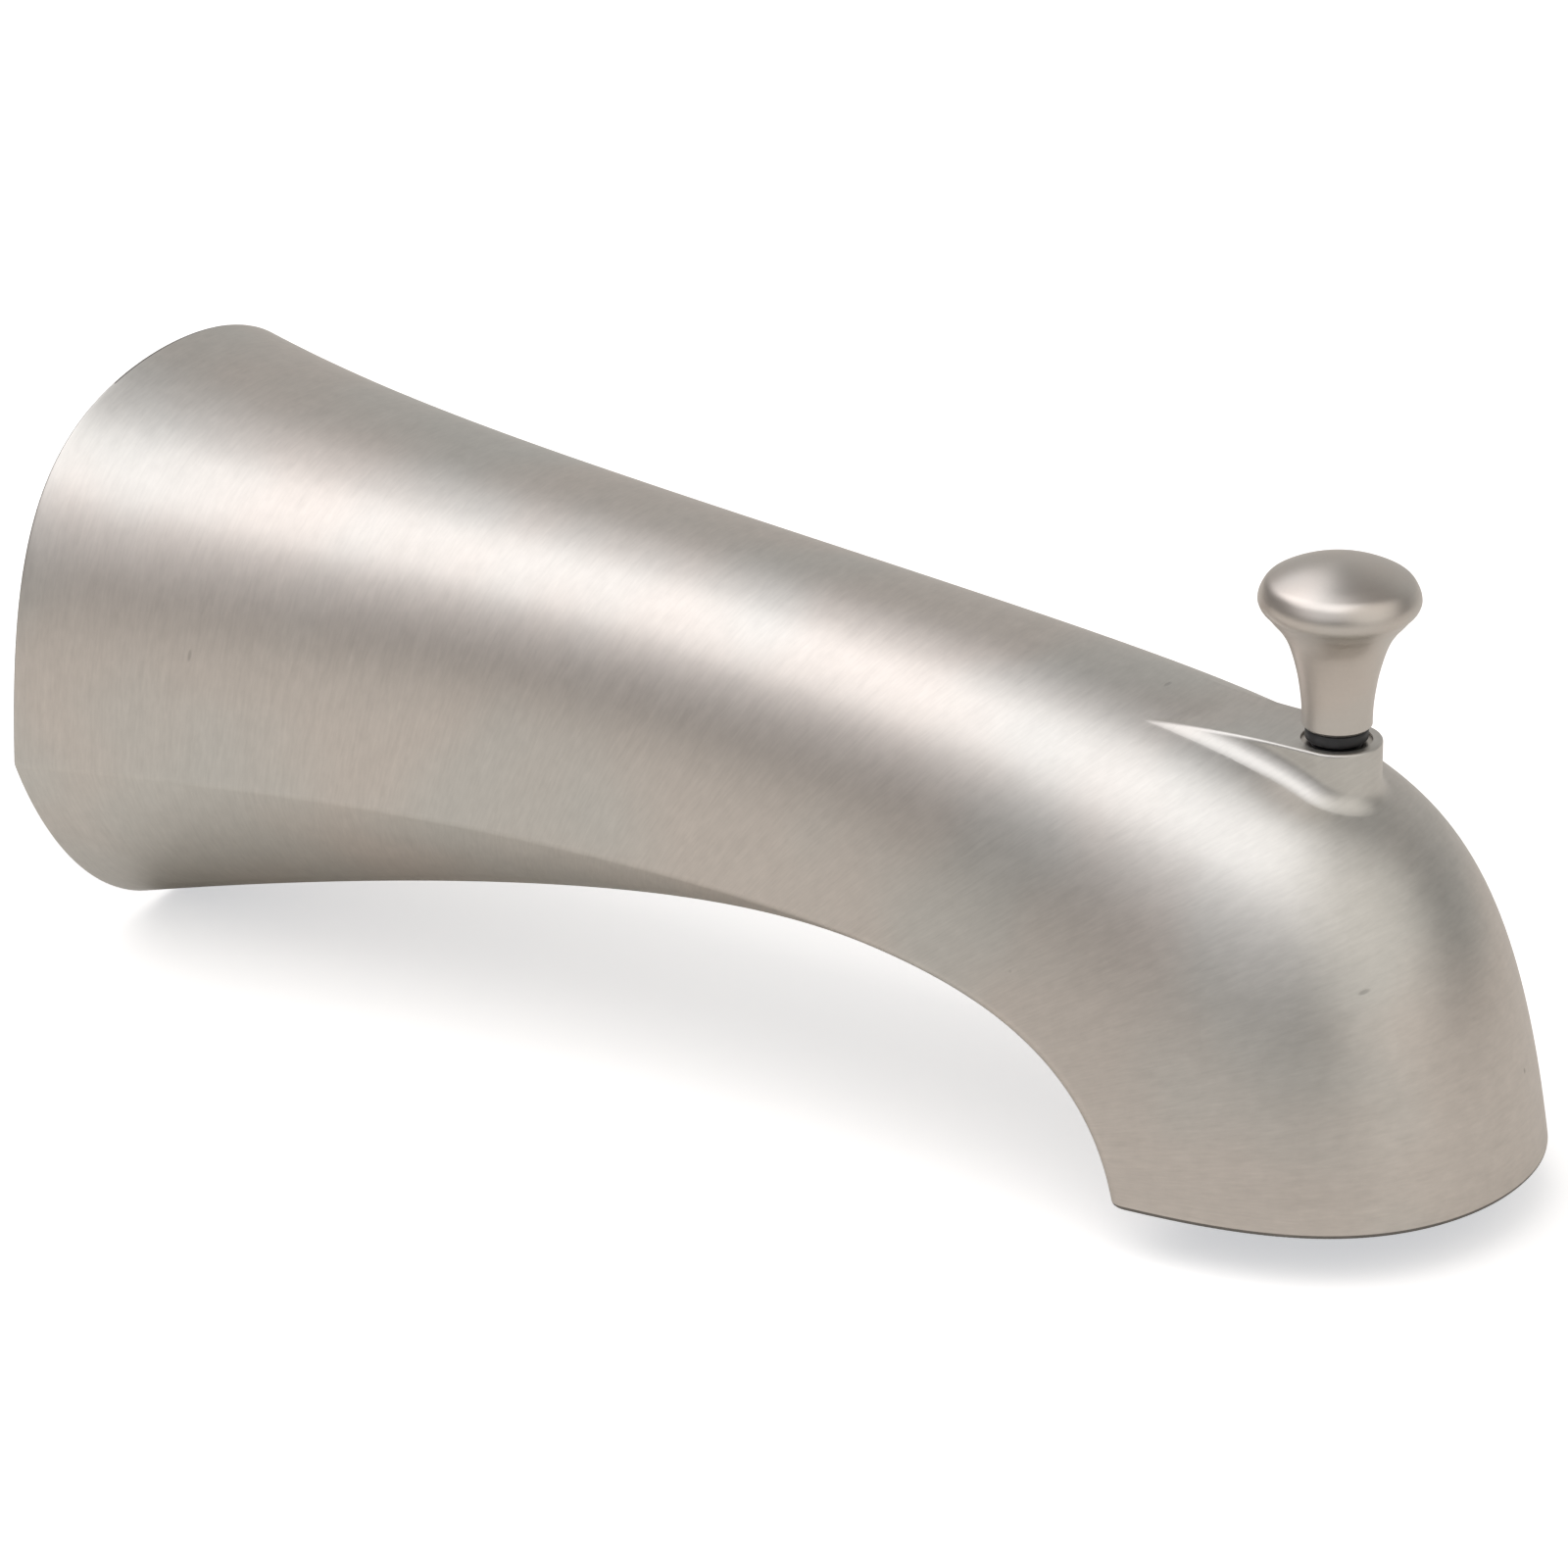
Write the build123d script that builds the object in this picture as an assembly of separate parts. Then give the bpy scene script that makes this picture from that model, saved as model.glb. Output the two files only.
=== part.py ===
from build123d import *
import os
from math import atan2, comb, cos, degrees, hypot, radians, sin

os.makedirs("parts", exist_ok=True)

# Bath spout with a pull-up diverter knob, slipped over a copper pipe stub.
# Millimetres. The origin is on the pipe's axis at the wall, +X runs from the wall to the nose,
# +Z is up, and y = 0 is the plane of symmetry.

# Outside of the casting, as drawn in the y = 0 plane. The two lines give Bezier control points, each
# as a share of the reach and a height.
flange_w = 57.3
outlet_w = 48.9
flange_top = 30.1
flange_bottom = -30.1
reach = 159.4
outlet_z = -25.4
top_line = [(0, flange_top), (0.276, 22.0), (0.4611, 28.1), (0.8394, 13.3), (0.8984, 23.1), (0.9693, 12.6),
            (1, outlet_z)]
under_line = [(0, flange_bottom), (0.3237, -15.0), (0.5376, -10.5), (0.7516, -2.4), (0.7949, outlet_z)]
# Along the spout: how far the crease between side and underside stands out as a share of the side's
# spread, the spread itself, and how high the crease lies.
crease_share = [0.903, 0.930, 0.966, 0.982]
side_spread = [flange_w / 2 / crease_share[0], 13.5, 20.6, 23.0, outlet_w / 2 / crease_share[-1]]
crease_rise = [0.386, 0.324, 0.044, 0.028]
# Roundness of the sides and crown: at the wall, then at the outlet.
side_swell = (0.891, 0.931)
side_lift = (1.097, 0.883)
crown_share = (0.532, 0.621)
belly_share = 0.72
belly_drop = 0.78
sections = 15
wall = 2.6
rim_bevel = 0.5
crease_round = 2.0

# Flat-topped boss under the knob.
stem_x = 0.86763 * reach
boss_back_x = 0.74655 * reach
boss_r = 4.5
boss_top = 17.7
boss_cove = 3.0
boss_core = 0.7
cove_bite = 0.12
boss_edge = 0.3

# Pipe socket, which is a barrel inside the casting.
pipe_r = 7.94
pipe_clear = 0.06
barrel_start = 30.0
barrel_end = 64.5
barrel_wall = 2.5
bulkhead_t = 2.5
rib_t = 2.0
adapter_r = 11.3
adapter_play = 0.05
adapter_flange_r = 13.2
adapter_flange_t = 2.0
adapter_nose = 2.5
adapter_nose_r = 10.4
pipe_stop = 5.0
pipe_stop_r = 6.8
lead_in = 1.2
pipe_ring_r = 1.0
pipe_ring_from_stop = (10.8, 5.4)
outer_ring_r = 0.75
outer_ring_from_end = 3.5
groove_side = 0.15
ring_gap = 0.02

# Set screw in the underside.
screw_from_start = 7.0
screw_r = 2.5
screw_play = 0.04
screw_len = 11.0
screw_boss_r = 5.2
hex_af = 2.5
hex_deep = 3.2

# Stem, its bushing and its seals.
stem_r = 1.6
stem_run = 0.05
bushing_r = 3.5
bushing_len = 6.4
bushing_sunk = 0.3
bushing_play = 0.03
stem_ring_r = 0.55
seat_ring_out = 3.1
seat_ring_in = 1.95
seat_ring_t = 1.25
rest_gap = 0.1

# Knob. Its outline is given in shares of its radius and height: the waisted neck, then the turn into
# the cap, the cap's widest ring and the soft ridge round its crown.
knob_neck = [(0.442, 0.143), (0.470, 0.252), (0.505, 0.3435), (0.573, 0.465), (0.641, 0.550),
             (0.736, 0.623), (0.824, 0.672)]
knob_turn = (0.932, 0.7325)
knob_wide = (1, 0.8175)
knob_ridge = (0.957, 0.927)
knob_r = 7.96
knob_h = 16.45
knob_low_r = 3.45
knob_ridge_round = 0.9
knob_chamfer = 0.3
knob_hole = 7.95

# Diverter gate and its seat.
travel = 11.5
slot_z = 2.4
slot_half_w = 6.4
slot_half_h = 3.5
gate_half_w = 8.9
gate_half_h = 5.3
gate_from_stem = 1.1
gate_t = 2.2
washer_t = 1.5
washer_inset = 0.3
seat_gap = 0.3
seat_lip = 0.8
seat_lip_w = 1.2
seat_t = 2.2
floor_gap = 1.0
floor_t = 2.2
floor_len = 30.3
hub_half = 3.4
hub_back = 3.1
head_r = 2.1
head_t = 1.4
head_play = 0.15
button_r = 1.5
button_head_r = 2.3
button_head_t = 0.6


def blend(values, t):
    """Bezier value at t."""
    n = len(values) - 1
    return sum(comb(n, i) * (1 - t) ** (n - i) * t**i * v for i, v in enumerate(values))


def between(pair, t):
    return pair[0] * (1 - t) + pair[1] * t


class Station:
    """One cross-section of the spout, in a plane that turns from upright at the wall to level at the outlet."""

    def __init__(self, t, inset=0.0):
        top = (reach * blend([p[0] for p in top_line], t), blend([p[1] for p in top_line], t))
        low = (reach * blend([p[0] for p in under_line], t), blend([p[1] for p in under_line], t))
        tall = hypot(top[0] - low[0], top[1] - low[1])
        self.up = ((top[0] - low[0]) / tall, (top[1] - low[1]) / tall)
        self.base = (low[0] + inset * self.up[0], low[1] + inset * self.up[1])
        self.tall = tall - 2 * inset
        self.half = blend(side_spread, t) - inset
        self.corner = blend(side_spread, t) * blend(crease_share, t) - inset
        self.rise = blend(crease_rise, t) * self.tall
        self.t = t

    def point(self, v, u):
        return (self.base[0] + self.up[0] * u, v, self.base[1] + self.up[1] * u)

    def arch(self):
        """Control points over the crown, from one crease to the other."""
        high = self.tall - self.rise
        lift = between(side_lift, self.t)
        near = [(self.corner, 0), (between(side_swell, self.t) * self.half, lift * high),
                (between(crown_share, self.t) * self.half, (16 - 5 * lift) / 10 * high)]
        flat = [(-v, u) for v, u in near] + near[::-1]
        return [(v, self.rise + u) for v, u in flat]

    def belly(self):
        """Control points under the spout, back to the first crease."""
        side = belly_share * self.corner
        middle = (16 - 8 * belly_drop) / 6
        flat = [(self.corner, 0), (side, -belly_drop), (0, -middle), (-side, -belly_drop), (-self.corner, 0)]
        return [(v, self.rise * (1 + u)) for v, u in flat]

    def outline(self):
        over = Edge.make_bezier(*[self.point(*p) for p in self.arch()])
        under = Edge.make_bezier(*[self.point(*p) for p in self.belly()])
        return Wire([over, under])


def spout_form(inset):
    """Solid skin of the spout, drawn in by inset."""
    return Solid.make_loft([Station(i / (sections - 1), inset).outline() for i in range(sections)])


def crown_height(x, y):
    """Height of the outer surface above the point x, y on the upper side."""

    def on_section(t):
        station = Station(t)
        points = station.arch()
        low, high = 0.0, 1.0
        for _ in range(24):
            mid = (low + high) / 2
            if blend([p[0] for p in points], mid) < y:
                low = mid
            else:
                high = mid
        return station.point(y, blend([p[1] for p in points], mid))

    low, high = 0.0, 1.0
    for _ in range(24):
        mid = (low + high) / 2
        spot = on_section(mid)
        if spot[0] < x:
            low = mid
        else:
            high = mid
    return spot[2]


def cove_profile(x, turn):
    """Closed outline of the hollow blend at the boss's foot, in the upright plane through x, 0 facing turn."""
    dx, dy = cos(radians(turn)), sin(radians(turn))
    step = 0.25
    skin = [(boss_r + step * i, crown_height(x + (boss_r + step * i) * dx, (boss_r + step * i) * dy))
            for i in range(-4, 24)]
    last = None
    for (r0, z0), (r1, z1) in zip(skin, skin[1:]):
        slope = (z1 - z0) / (r1 - r0)
        size = hypot(slope, 1)
        normal = (-slope / size, 1 / size)
        middle = ((r0 + r1) / 2 + boss_cove * normal[0], (z0 + z1) / 2 + boss_cove * normal[1])
        if middle[0] > boss_r + boss_cove:
            share = (boss_r + boss_cove - last[0]) / (middle[0] - last[0])
            centre_z = last[1] + share * (middle[1] - last[1]) - cove_bite
            break
        last = middle
    foot = degrees(atan2(-normal[1], -normal[0])) + 10
    centre_r = boss_r + boss_cove

    def place(r, z):
        return (x + r * dx, r * dy, z)

    def on_arc(angle):
        return place(centre_r + boss_cove * cos(radians(angle)), centre_z + boss_cove * sin(radians(angle)))

    angle = foot % 360
    inner = boss_r - 2 * boss_core
    low = crown_height(x, 0) - wall
    tip = boss_top + 3 * boss_cove
    corners = [on_arc(angle), place(inner, low), place(inner, tip), place(boss_r, tip), on_arc(180)]
    arc = Edge.make_three_point_arc(on_arc(180), on_arc((180 + angle) / 2), on_arc(angle))
    return Wire([Edge.make_line(a, b) for a, b in zip(corners, corners[1:])] + [arc])


def boss():
    """Flat-topped boss with a round front and a hollow blend at its foot."""
    back = [boss_back_x + (stem_x - boss_back_x) * i / 5 for i in range(6)]
    flank = Solid.make_loft([cove_profile(x, -90) for x in back])
    front = Solid.make_loft([cove_profile(stem_x, -90 + 22.5 * i) for i in range(9)])
    core_r = boss_r - boss_core
    tall = 3 * boss_cove + wall + 4
    low = Plane.XY.offset(boss_top - wall - 4)
    core = low * extrude(Pos(stem_x, 0) * Circle(core_r), tall)
    core += low * extrude(Pos((stem_x + boss_back_x) / 2, 0) * Rectangle(stem_x - boss_back_x, 2 * core_r), tall)
    body = core + flank + mirror(flank, Plane.XZ) + front
    waste = Plane.XY.offset(boss_top) * extrude(Pos(stem_x, 0) * Rectangle(blank, blank), tall)
    return body - waste


def rod(r, start, end, x=0.0, y=0.0):
    """Upright cylinder between two heights."""
    return Pos(x, y, (start + end) / 2) * Cylinder(r, end - start)


def tube(r, start, end):
    """Cylinder along the pipe's axis."""
    return Pos((start + end) / 2, 0, 0) * Rot(0, 90, 0) * Cylinder(r, end - start)


def upright_slab(x, t):
    return Pos(x + t / 2, 0, 0) * Box(t, blank, blank)


def rounded_plate(x, t, z, half_w, half_h):
    """Plate facing the nose, with half-round ends."""
    plane = Plane(origin=(x, 0, z), x_dir=(0, 1, 0), z_dir=(1, 0, 0))
    return extrude(plane * SlotOverall(2 * half_w, 2 * half_h), t)


outer = spout_form(0)
outer = fillet(outer.edges().sort_by(Edge.length)[-2:], crease_round)
middle = spout_form(wall / 2)
cavity = spout_form(wall)

bore_r = adapter_r + adapter_play
blank = 100
screw_x = barrel_start + screw_from_start
adapter_end = barrel_end + adapter_nose
pipe_stop_x = adapter_end - pipe_stop
gate_x = stem_x + gate_from_stem
seat_x = gate_x + gate_t + washer_t + seat_gap
seat_back = seat_x + seat_lip + seat_t
rest_z = slot_z - travel
floor_z = rest_z - gate_half_h - floor_gap
floor_back_x = stem_x - floor_len

shell = outer - cavity
shell = chamfer(shell.faces().filter_by(Axis.X).sort_by(Axis.X)[0].outer_wire().edges(), rim_bevel)
shell = chamfer(shell.faces().filter_by(Axis.Z).sort_by(Axis.Z)[0].outer_wire().edges(), rim_bevel)

# Webs cast across the inside.
barrel = tube(bore_r + barrel_wall, barrel_start, barrel_end)
bulkhead = upright_slab(barrel_end - bulkhead_t, bulkhead_t)
rib_span = barrel_end - barrel_start
side_rib = Pos(barrel_start + rib_span / 2, 0, 0) * Box(rib_span, blank, rib_t)
top_rib = Pos(barrel_start + rib_span / 2, 0, blank / 4) * Box(rib_span, rib_t, blank / 2)
screw_pad = rod(screw_boss_r, -blank / 2, -bore_r, screw_x)
seat_wall = Pos(seat_back - seat_t / 2, 0, floor_z + blank / 2 - floor_t) * Box(seat_t, blank, blank)
chamber_floor = Pos((floor_back_x + seat_back) / 2, 0, floor_z - floor_t / 2) * Box(
    seat_back - floor_back_x, blank, floor_t)
webs = barrel + bulkhead + side_rib + top_rib + screw_pad + seat_wall + chamber_floor
webs = webs & middle
lip = rounded_plate(seat_x, seat_lip + seat_t / 2, slot_z, slot_half_w + seat_lip_w, slot_half_h + seat_lip_w)

body = shell + webs + lip
body += boss() - cavity
body -= tube(bore_r, -5, barrel_end + 1)
body -= rounded_plate(seat_x - 1, seat_lip + seat_t + 2, slot_z, slot_half_w, slot_half_h)
body -= rod(screw_r, -blank / 2, 0, screw_x)
body -= rod(bushing_r + bushing_play, boss_top - 2 * bushing_len, boss_top + 1, stem_x)
crest = [f for f in body.faces().filter_by(Axis.Z) if abs(f.center().Z - boss_top) < 0.01][0]
body = fillet([e for e in crest.outer_wire().edges() if e.center().X > stem_x - boss_r], boss_edge)

# Sleeve that the pipe slides into.
flange_x = barrel_start - adapter_flange_t
sleeve = tube(adapter_r, flange_x, barrel_end) + tube(adapter_flange_r, flange_x, barrel_start)
sleeve += tube(adapter_nose_r, barrel_end, adapter_end)
sleeve -= tube(pipe_r + pipe_clear, flange_x - 1, pipe_stop_x) + tube(pipe_stop_r, pipe_stop_x, adapter_end + 1)
sleeve -= Pos(flange_x + lead_in / 2, 0, 0) * Rot(0, 90, 0) * Cone(
    pipe_r + pipe_clear + lead_in, pipe_r + pipe_clear, lead_in)
groove_r = pipe_r + pipe_clear + 2 * pipe_ring_r
pipe_ring_at = [pipe_stop_x - back for back in pipe_ring_from_stop]
for x in pipe_ring_at:
    half = pipe_ring_r + groove_side
    sleeve -= tube(groove_r, x - half, x + half)
outer_groove_r = bore_r - 2 * outer_ring_r - 2 * ring_gap
outer_ring_at = barrel_end - outer_ring_from_end
half = outer_ring_r + groove_side
sleeve -= tube(adapter_r + 1, outer_ring_at - half, outer_ring_at + half) - tube(
    outer_groove_r, outer_ring_at - half, outer_ring_at + half)
sleeve -= rod(screw_r + screw_play, -blank / 2, 0, screw_x)


def ring(minor, major, x):
    return Pos(x, 0, 0) * Rot(0, 90, 0) * Torus(major, minor)


pipe_rings = [ring(pipe_ring_r - ring_gap, groove_r - pipe_ring_r, x) for x in pipe_ring_at]
outer_ring = ring(outer_ring_r, outer_groove_r + outer_ring_r + ring_gap, outer_ring_at)

# Set screw, tip up against the pipe.
tip_z = -(pipe_r + pipe_clear) - 0.1
screw = rod(screw_r - screw_play, tip_z - screw_len, tip_z, screw_x)
screw = chamfer(screw.edges().group_by(Axis.Z)[-1], 0.6)
screw -= Pos(screw_x, 0, tip_z - screw_len) * extrude(
    RegularPolygon(hex_af / 2, 6, major_radius=False), hex_deep)
screw = chamfer(screw.edges().filter_by(GeomType.CIRCLE).group_by(Axis.Z)[0], 0.3)

# Bushing pressed into the boss, with a seal ring in its top and a black ring above.
bushing_top = boss_top - bushing_sunk
bushing_low = bushing_top - bushing_len
pocket_r = stem_r + ring_gap + 2 * stem_ring_r + ring_gap
pocket_low = bushing_top - 2 * (stem_ring_r + ring_gap)
bushing = rod(bushing_r, bushing_low, bushing_top, stem_x)
bushing -= rod(stem_r + stem_run, bushing_low - 1, bushing_top + 1, stem_x)
bushing -= rod(pocket_r, pocket_low, bushing_top + 1, stem_x)
bushing = chamfer(bushing.edges().filter_by(GeomType.CIRCLE).group_by(Axis.Z)[0], 0.3)
stem_ring = Pos(stem_x, 0, pocket_low + stem_ring_r + ring_gap / 2) * Torus(
    stem_r + ring_gap + stem_ring_r, stem_ring_r)
seat_ring = rod(seat_ring_out, boss_top, boss_top + seat_ring_t, stem_x)
seat_ring -= rod(seat_ring_in, boss_top - 1, boss_top + seat_ring_t + 1, stem_x)
seat_ring = fillet(seat_ring.edges().filter_by(GeomType.CIRCLE), 0.3)

# Knob, turned about the stem.
knob_low = boss_top + seat_ring_t + rest_gap
knob_crown = knob_low + knob_h
neck_start = (knob_low_r, knob_low + 2 * knob_chamfer)


def on_knob(spot):
    """Point of the outline in millimetres, from its shares of the knob's radius and height."""
    return (spot[0] * knob_r, knob_low + spot[1] * knob_h)


cap_turn, cap_wide, cap_ridge = on_knob(knob_turn), on_knob(knob_wide), on_knob(knob_ridge)
cap_middle = (cap_ridge[0] * 0.52, knob_crown - 0.27 * (knob_crown - cap_ridge[1]))
with BuildPart() as knob_part:
    with BuildSketch(Plane.XZ):
        with BuildLine():
            Line((0, knob_low), (knob_low_r - knob_chamfer, knob_low))
            Line((knob_low_r - knob_chamfer, knob_low), (knob_low_r, knob_low + knob_chamfer))
            Line((knob_low_r, knob_low + knob_chamfer), neck_start)
            Spline(neck_start, *[on_knob(p) for p in knob_neck], cap_turn, tangents=[(0, 1), (1, 0.9)])
            ThreePointArc(cap_turn, cap_wide, cap_ridge)
            ThreePointArc(cap_ridge, cap_middle, (0, knob_crown))
            Line((0, knob_crown), (0, knob_low))
        make_face()
    revolve(axis=Axis.Z)
knob = knob_part.part
ridge = knob.edges().filter_by(GeomType.CIRCLE).sort_by(lambda e: abs(e.center().Z - cap_ridge[1]))[0]
knob = fillet(ridge, knob_ridge_round)
knob = Pos(stem_x, 0, 0) * knob
knob -= rod(stem_r + ring_gap, knob_low - 1, knob_low + knob_hole, stem_x)

# Stem with a flat head that hangs the gate.
head_z = rest_z
stem_end = knob_low + knob_hole - 0.3
stem = rod(stem_r, head_z, stem_end, stem_x) + rod(head_r, head_z, head_z + head_t, stem_x)


def slot_behind(r, low, high):
    """Round hole on the stem's axis that opens towards the wall."""
    back = 2 * hub_back
    slot = Pos(stem_x - back / 2, 0, (low + high) / 2) * Box(back, 2 * r, high - low)
    return slot + rod(r, low, high, stem_x)


# Gate plate, its hub with a slot for the stem's head, and the button that holds the rubber.
gate = rounded_plate(gate_x, gate_t, rest_z, gate_half_w, gate_half_h)
hub_low = rest_z - hub_half
hub_back_x = stem_x - hub_back
gate += Pos((hub_back_x + gate_x) / 2, 0, rest_z) * Box(gate_x - hub_back_x, 2 * hub_half, 2 * hub_half)
gate -= slot_behind(stem_r + head_play, rest_z, rest_z + 2 * gate_half_h)
gate -= slot_behind(head_r + head_play, head_z - head_play, head_z + head_t + head_play)
rubber_x = gate_x + gate_t
button_end = rubber_x + washer_t - 0.2
gate += Pos(0, 0, rest_z) * tube(button_r, rubber_x - 0.5, button_end)
gate += Pos(0, 0, rest_z) * tube(button_head_r, button_end - button_head_t, button_end)
rubber = rounded_plate(rubber_x, washer_t, rest_z, gate_half_w - washer_inset, gate_half_h - washer_inset)
rubber -= Pos(0, 0, rest_z) * tube(button_r + ring_gap, rubber_x - 1, rubber_x + washer_t + 1)
rubber -= Pos(0, 0, rest_z) * tube(
    button_head_r + ring_gap, button_end - button_head_t - ring_gap, rubber_x + washer_t + 1)

nodes = {
    "spout_body": body,
    "pipe_adapter": sleeve,
    "pipe_seal_rear": pipe_rings[0],
    "pipe_seal_front": pipe_rings[1],
    "adapter_seal": outer_ring,
    "set_screw": screw,
    "stem_bushing": bushing,
    "stem_seal": stem_ring,
    "knob_seat_ring": seat_ring,
    "diverter_knob": knob,
    "diverter_stem": stem,
    "diverter_gate": gate,
    "gate_washer": rubber,
}
for name, shape in nodes.items():
    export_step(shape, f"parts/{name}.step")
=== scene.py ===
"""Bath spout with a pull-up diverter knob, in satin nickel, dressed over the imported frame.

The casting, its knob and the black ring are modelled here. The sleeve, seals, screw, bushing, stem and gate
keep their solids from the frame and get their finishes here. Sizes are in millimetres, apart from those of
the finishes and of the studio, which are in metres. Scales of patterns are in cells per metre.
"""
import logging
import math
from dataclasses import dataclass, field
from enum import Enum
from typing import Callable, Mapping, Optional, Sequence, Union

import bmesh
import bpy
import numpy as np
from mathutils import Matrix, Vector
from mathutils.bvhtree import BVHTree


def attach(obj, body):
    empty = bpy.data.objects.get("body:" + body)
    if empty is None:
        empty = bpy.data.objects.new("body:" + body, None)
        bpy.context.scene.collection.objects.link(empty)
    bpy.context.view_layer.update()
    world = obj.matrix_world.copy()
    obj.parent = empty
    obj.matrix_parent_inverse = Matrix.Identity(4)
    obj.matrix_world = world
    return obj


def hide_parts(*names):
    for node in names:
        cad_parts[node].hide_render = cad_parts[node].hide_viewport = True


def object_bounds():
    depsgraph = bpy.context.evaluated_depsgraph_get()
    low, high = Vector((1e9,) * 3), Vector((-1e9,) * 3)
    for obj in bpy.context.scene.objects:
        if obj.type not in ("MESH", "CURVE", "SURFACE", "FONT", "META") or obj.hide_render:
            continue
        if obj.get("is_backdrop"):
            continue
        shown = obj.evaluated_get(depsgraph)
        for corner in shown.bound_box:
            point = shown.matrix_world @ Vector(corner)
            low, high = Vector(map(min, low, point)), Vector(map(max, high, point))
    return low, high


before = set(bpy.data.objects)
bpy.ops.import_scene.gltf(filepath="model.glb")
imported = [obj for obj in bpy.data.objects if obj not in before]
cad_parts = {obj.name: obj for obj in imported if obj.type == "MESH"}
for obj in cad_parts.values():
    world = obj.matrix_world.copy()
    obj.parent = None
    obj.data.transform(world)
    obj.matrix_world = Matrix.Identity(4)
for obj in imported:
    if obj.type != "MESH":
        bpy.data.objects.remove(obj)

MM = 0.001
LOG = logging.getLogger("bath_spout")

# Points nearer than this, in millimetres, are merged into one.
MERGE = 0.0005
# A point nearer to a plane than this, in millimetres, lies in it.
IN_PLANE = 0.01
# Steps of a search that halves its range each time.
HALVINGS = 24
# Sides of small round forms.
SMALL_SIDES = 64
# Degrees of the two curves that make up a section of the skin.
ARCH_DEGREE = 5
BELLY_DEGREE = 4

Point = tuple[float, float]
Triple = tuple[float, float, float]
Colour = Triple


class Body(Enum):
    """The two bodies that move against each other."""

    SPOUT = "spout"
    DIVERTER = "diverter"


class Slot(Enum):
    """Material slots of the record."""

    NICKEL = "satin_nickel"
    BRASS = "brass"
    STEEL = "steel"
    RUBBER = "rubber"
    ACETAL = "acetal"


class Join(Enum):
    """Ways to combine two closed meshes."""

    UNION = "UNION"
    DIFFERENCE = "DIFFERENCE"
    INTERSECT = "INTERSECT"


# Curves


def bezier(controls: np.ndarray, t: np.ndarray) -> np.ndarray:
    """Evaluate Bezier curves.

    Args:
        controls: Control values along the first axis. Further axes are broadcast against t.
        t: Parameters from 0 to 1.

    Returns:
        The value of the curve at each t.
    """
    degree = len(controls) - 1
    return sum(
        math.comb(degree, i) * (1 - t) ** (degree - i) * t**i * controls[i] for i in range(degree + 1)
    )


def smooth_through(points: Sequence[Point], start: Point, end: Point, steps: int) -> list[Point]:
    """Draw a smooth line through points with given end directions.

    Args:
        points: Places that the line passes.
        start: Direction in which it leaves the first point.
        end: Direction in which it reaches the last point.
        steps: Parts drawn between two points.

    Returns:
        Points of the line, without the last one.
    """
    spots = np.array(points)
    gaps = np.linalg.norm(np.diff(spots, axis=0), axis=1)
    along = np.concatenate([[0], np.cumsum(gaps)])
    slopes = np.zeros_like(spots)
    slopes[1:-1] = (spots[2:] - spots[:-2]) / (along[2:] - along[:-2])[:, None]
    slopes[0] = np.array(start) / math.hypot(*start)
    slopes[-1] = np.array(end) / math.hypot(*end)
    line = []
    for i, gap in enumerate(gaps):
        for k in range(steps):
            t = k / steps
            line.append(
                tuple(
                    (2 * t**3 - 3 * t**2 + 1) * spots[i]
                    + (t**3 - 2 * t**2 + t) * gap * slopes[i]
                    + (3 * t**2 - 2 * t**3) * spots[i + 1]
                    + (t**3 - t**2) * gap * slopes[i + 1]
                )
            )
    return line


def arc_through(start: Point, middle: Point, end: Point, steps: int) -> list[Point]:
    """Draw the arc through three points.

    Args:
        start: First point.
        middle: A point between.
        end: Last point.
        steps: Parts of the arc.

    Returns:
        Points of the arc, both ends included.
    """
    a, b, c = (complex(*p) for p in (start, middle, end))
    w = (c - a) / (b - a)
    centre = a + (b - a) * (w - abs(w) ** 2) / (2j * w.imag)
    angle = [math.atan2((p - centre).imag, (p - centre).real) for p in (a, b, c)]
    span = (angle[2] - angle[0]) % math.tau
    if (angle[1] - angle[0]) % math.tau > span:
        span -= math.tau
    radius = abs(a - centre)
    return [
        (
            centre.real + radius * math.cos(angle[0] + span * i / steps),
            centre.imag + radius * math.sin(angle[0] + span * i / steps),
        )
        for i in range(steps + 1)
    ]


def round_corner(line: list[Point], corner: int, radius: float, steps: int = 6) -> list[Point]:
    """Ease one corner of an outline.

    Args:
        line: Points of the outline.
        corner: Index of the corner.
        radius: How far from the corner the easing starts, along each side.
        steps: Parts of the eased stretch.

    Returns:
        The outline with the corner replaced.
    """
    spots = [np.array(p, float) for p in line]

    def walk(step: int) -> tuple[np.ndarray, int]:
        """Find the point at the radius from the corner, and the first kept index beyond it."""
        left, index = radius, corner
        while True:
            gap = spots[index + step] - spots[index]
            size = float(np.linalg.norm(gap))
            if size >= left:
                return spots[index] + gap * left / size, index + step
            left -= size
            index += step

    before, first = walk(-1)
    after, last = walk(1)
    bend = np.array([before, spots[corner], after])
    curve = [bezier(bend, np.float64(i / steps)) for i in range(steps + 1)]
    return [tuple(p) for p in [*spots[: first + 1], *curve, *spots[last:]]]


# Mesh tools


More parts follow.
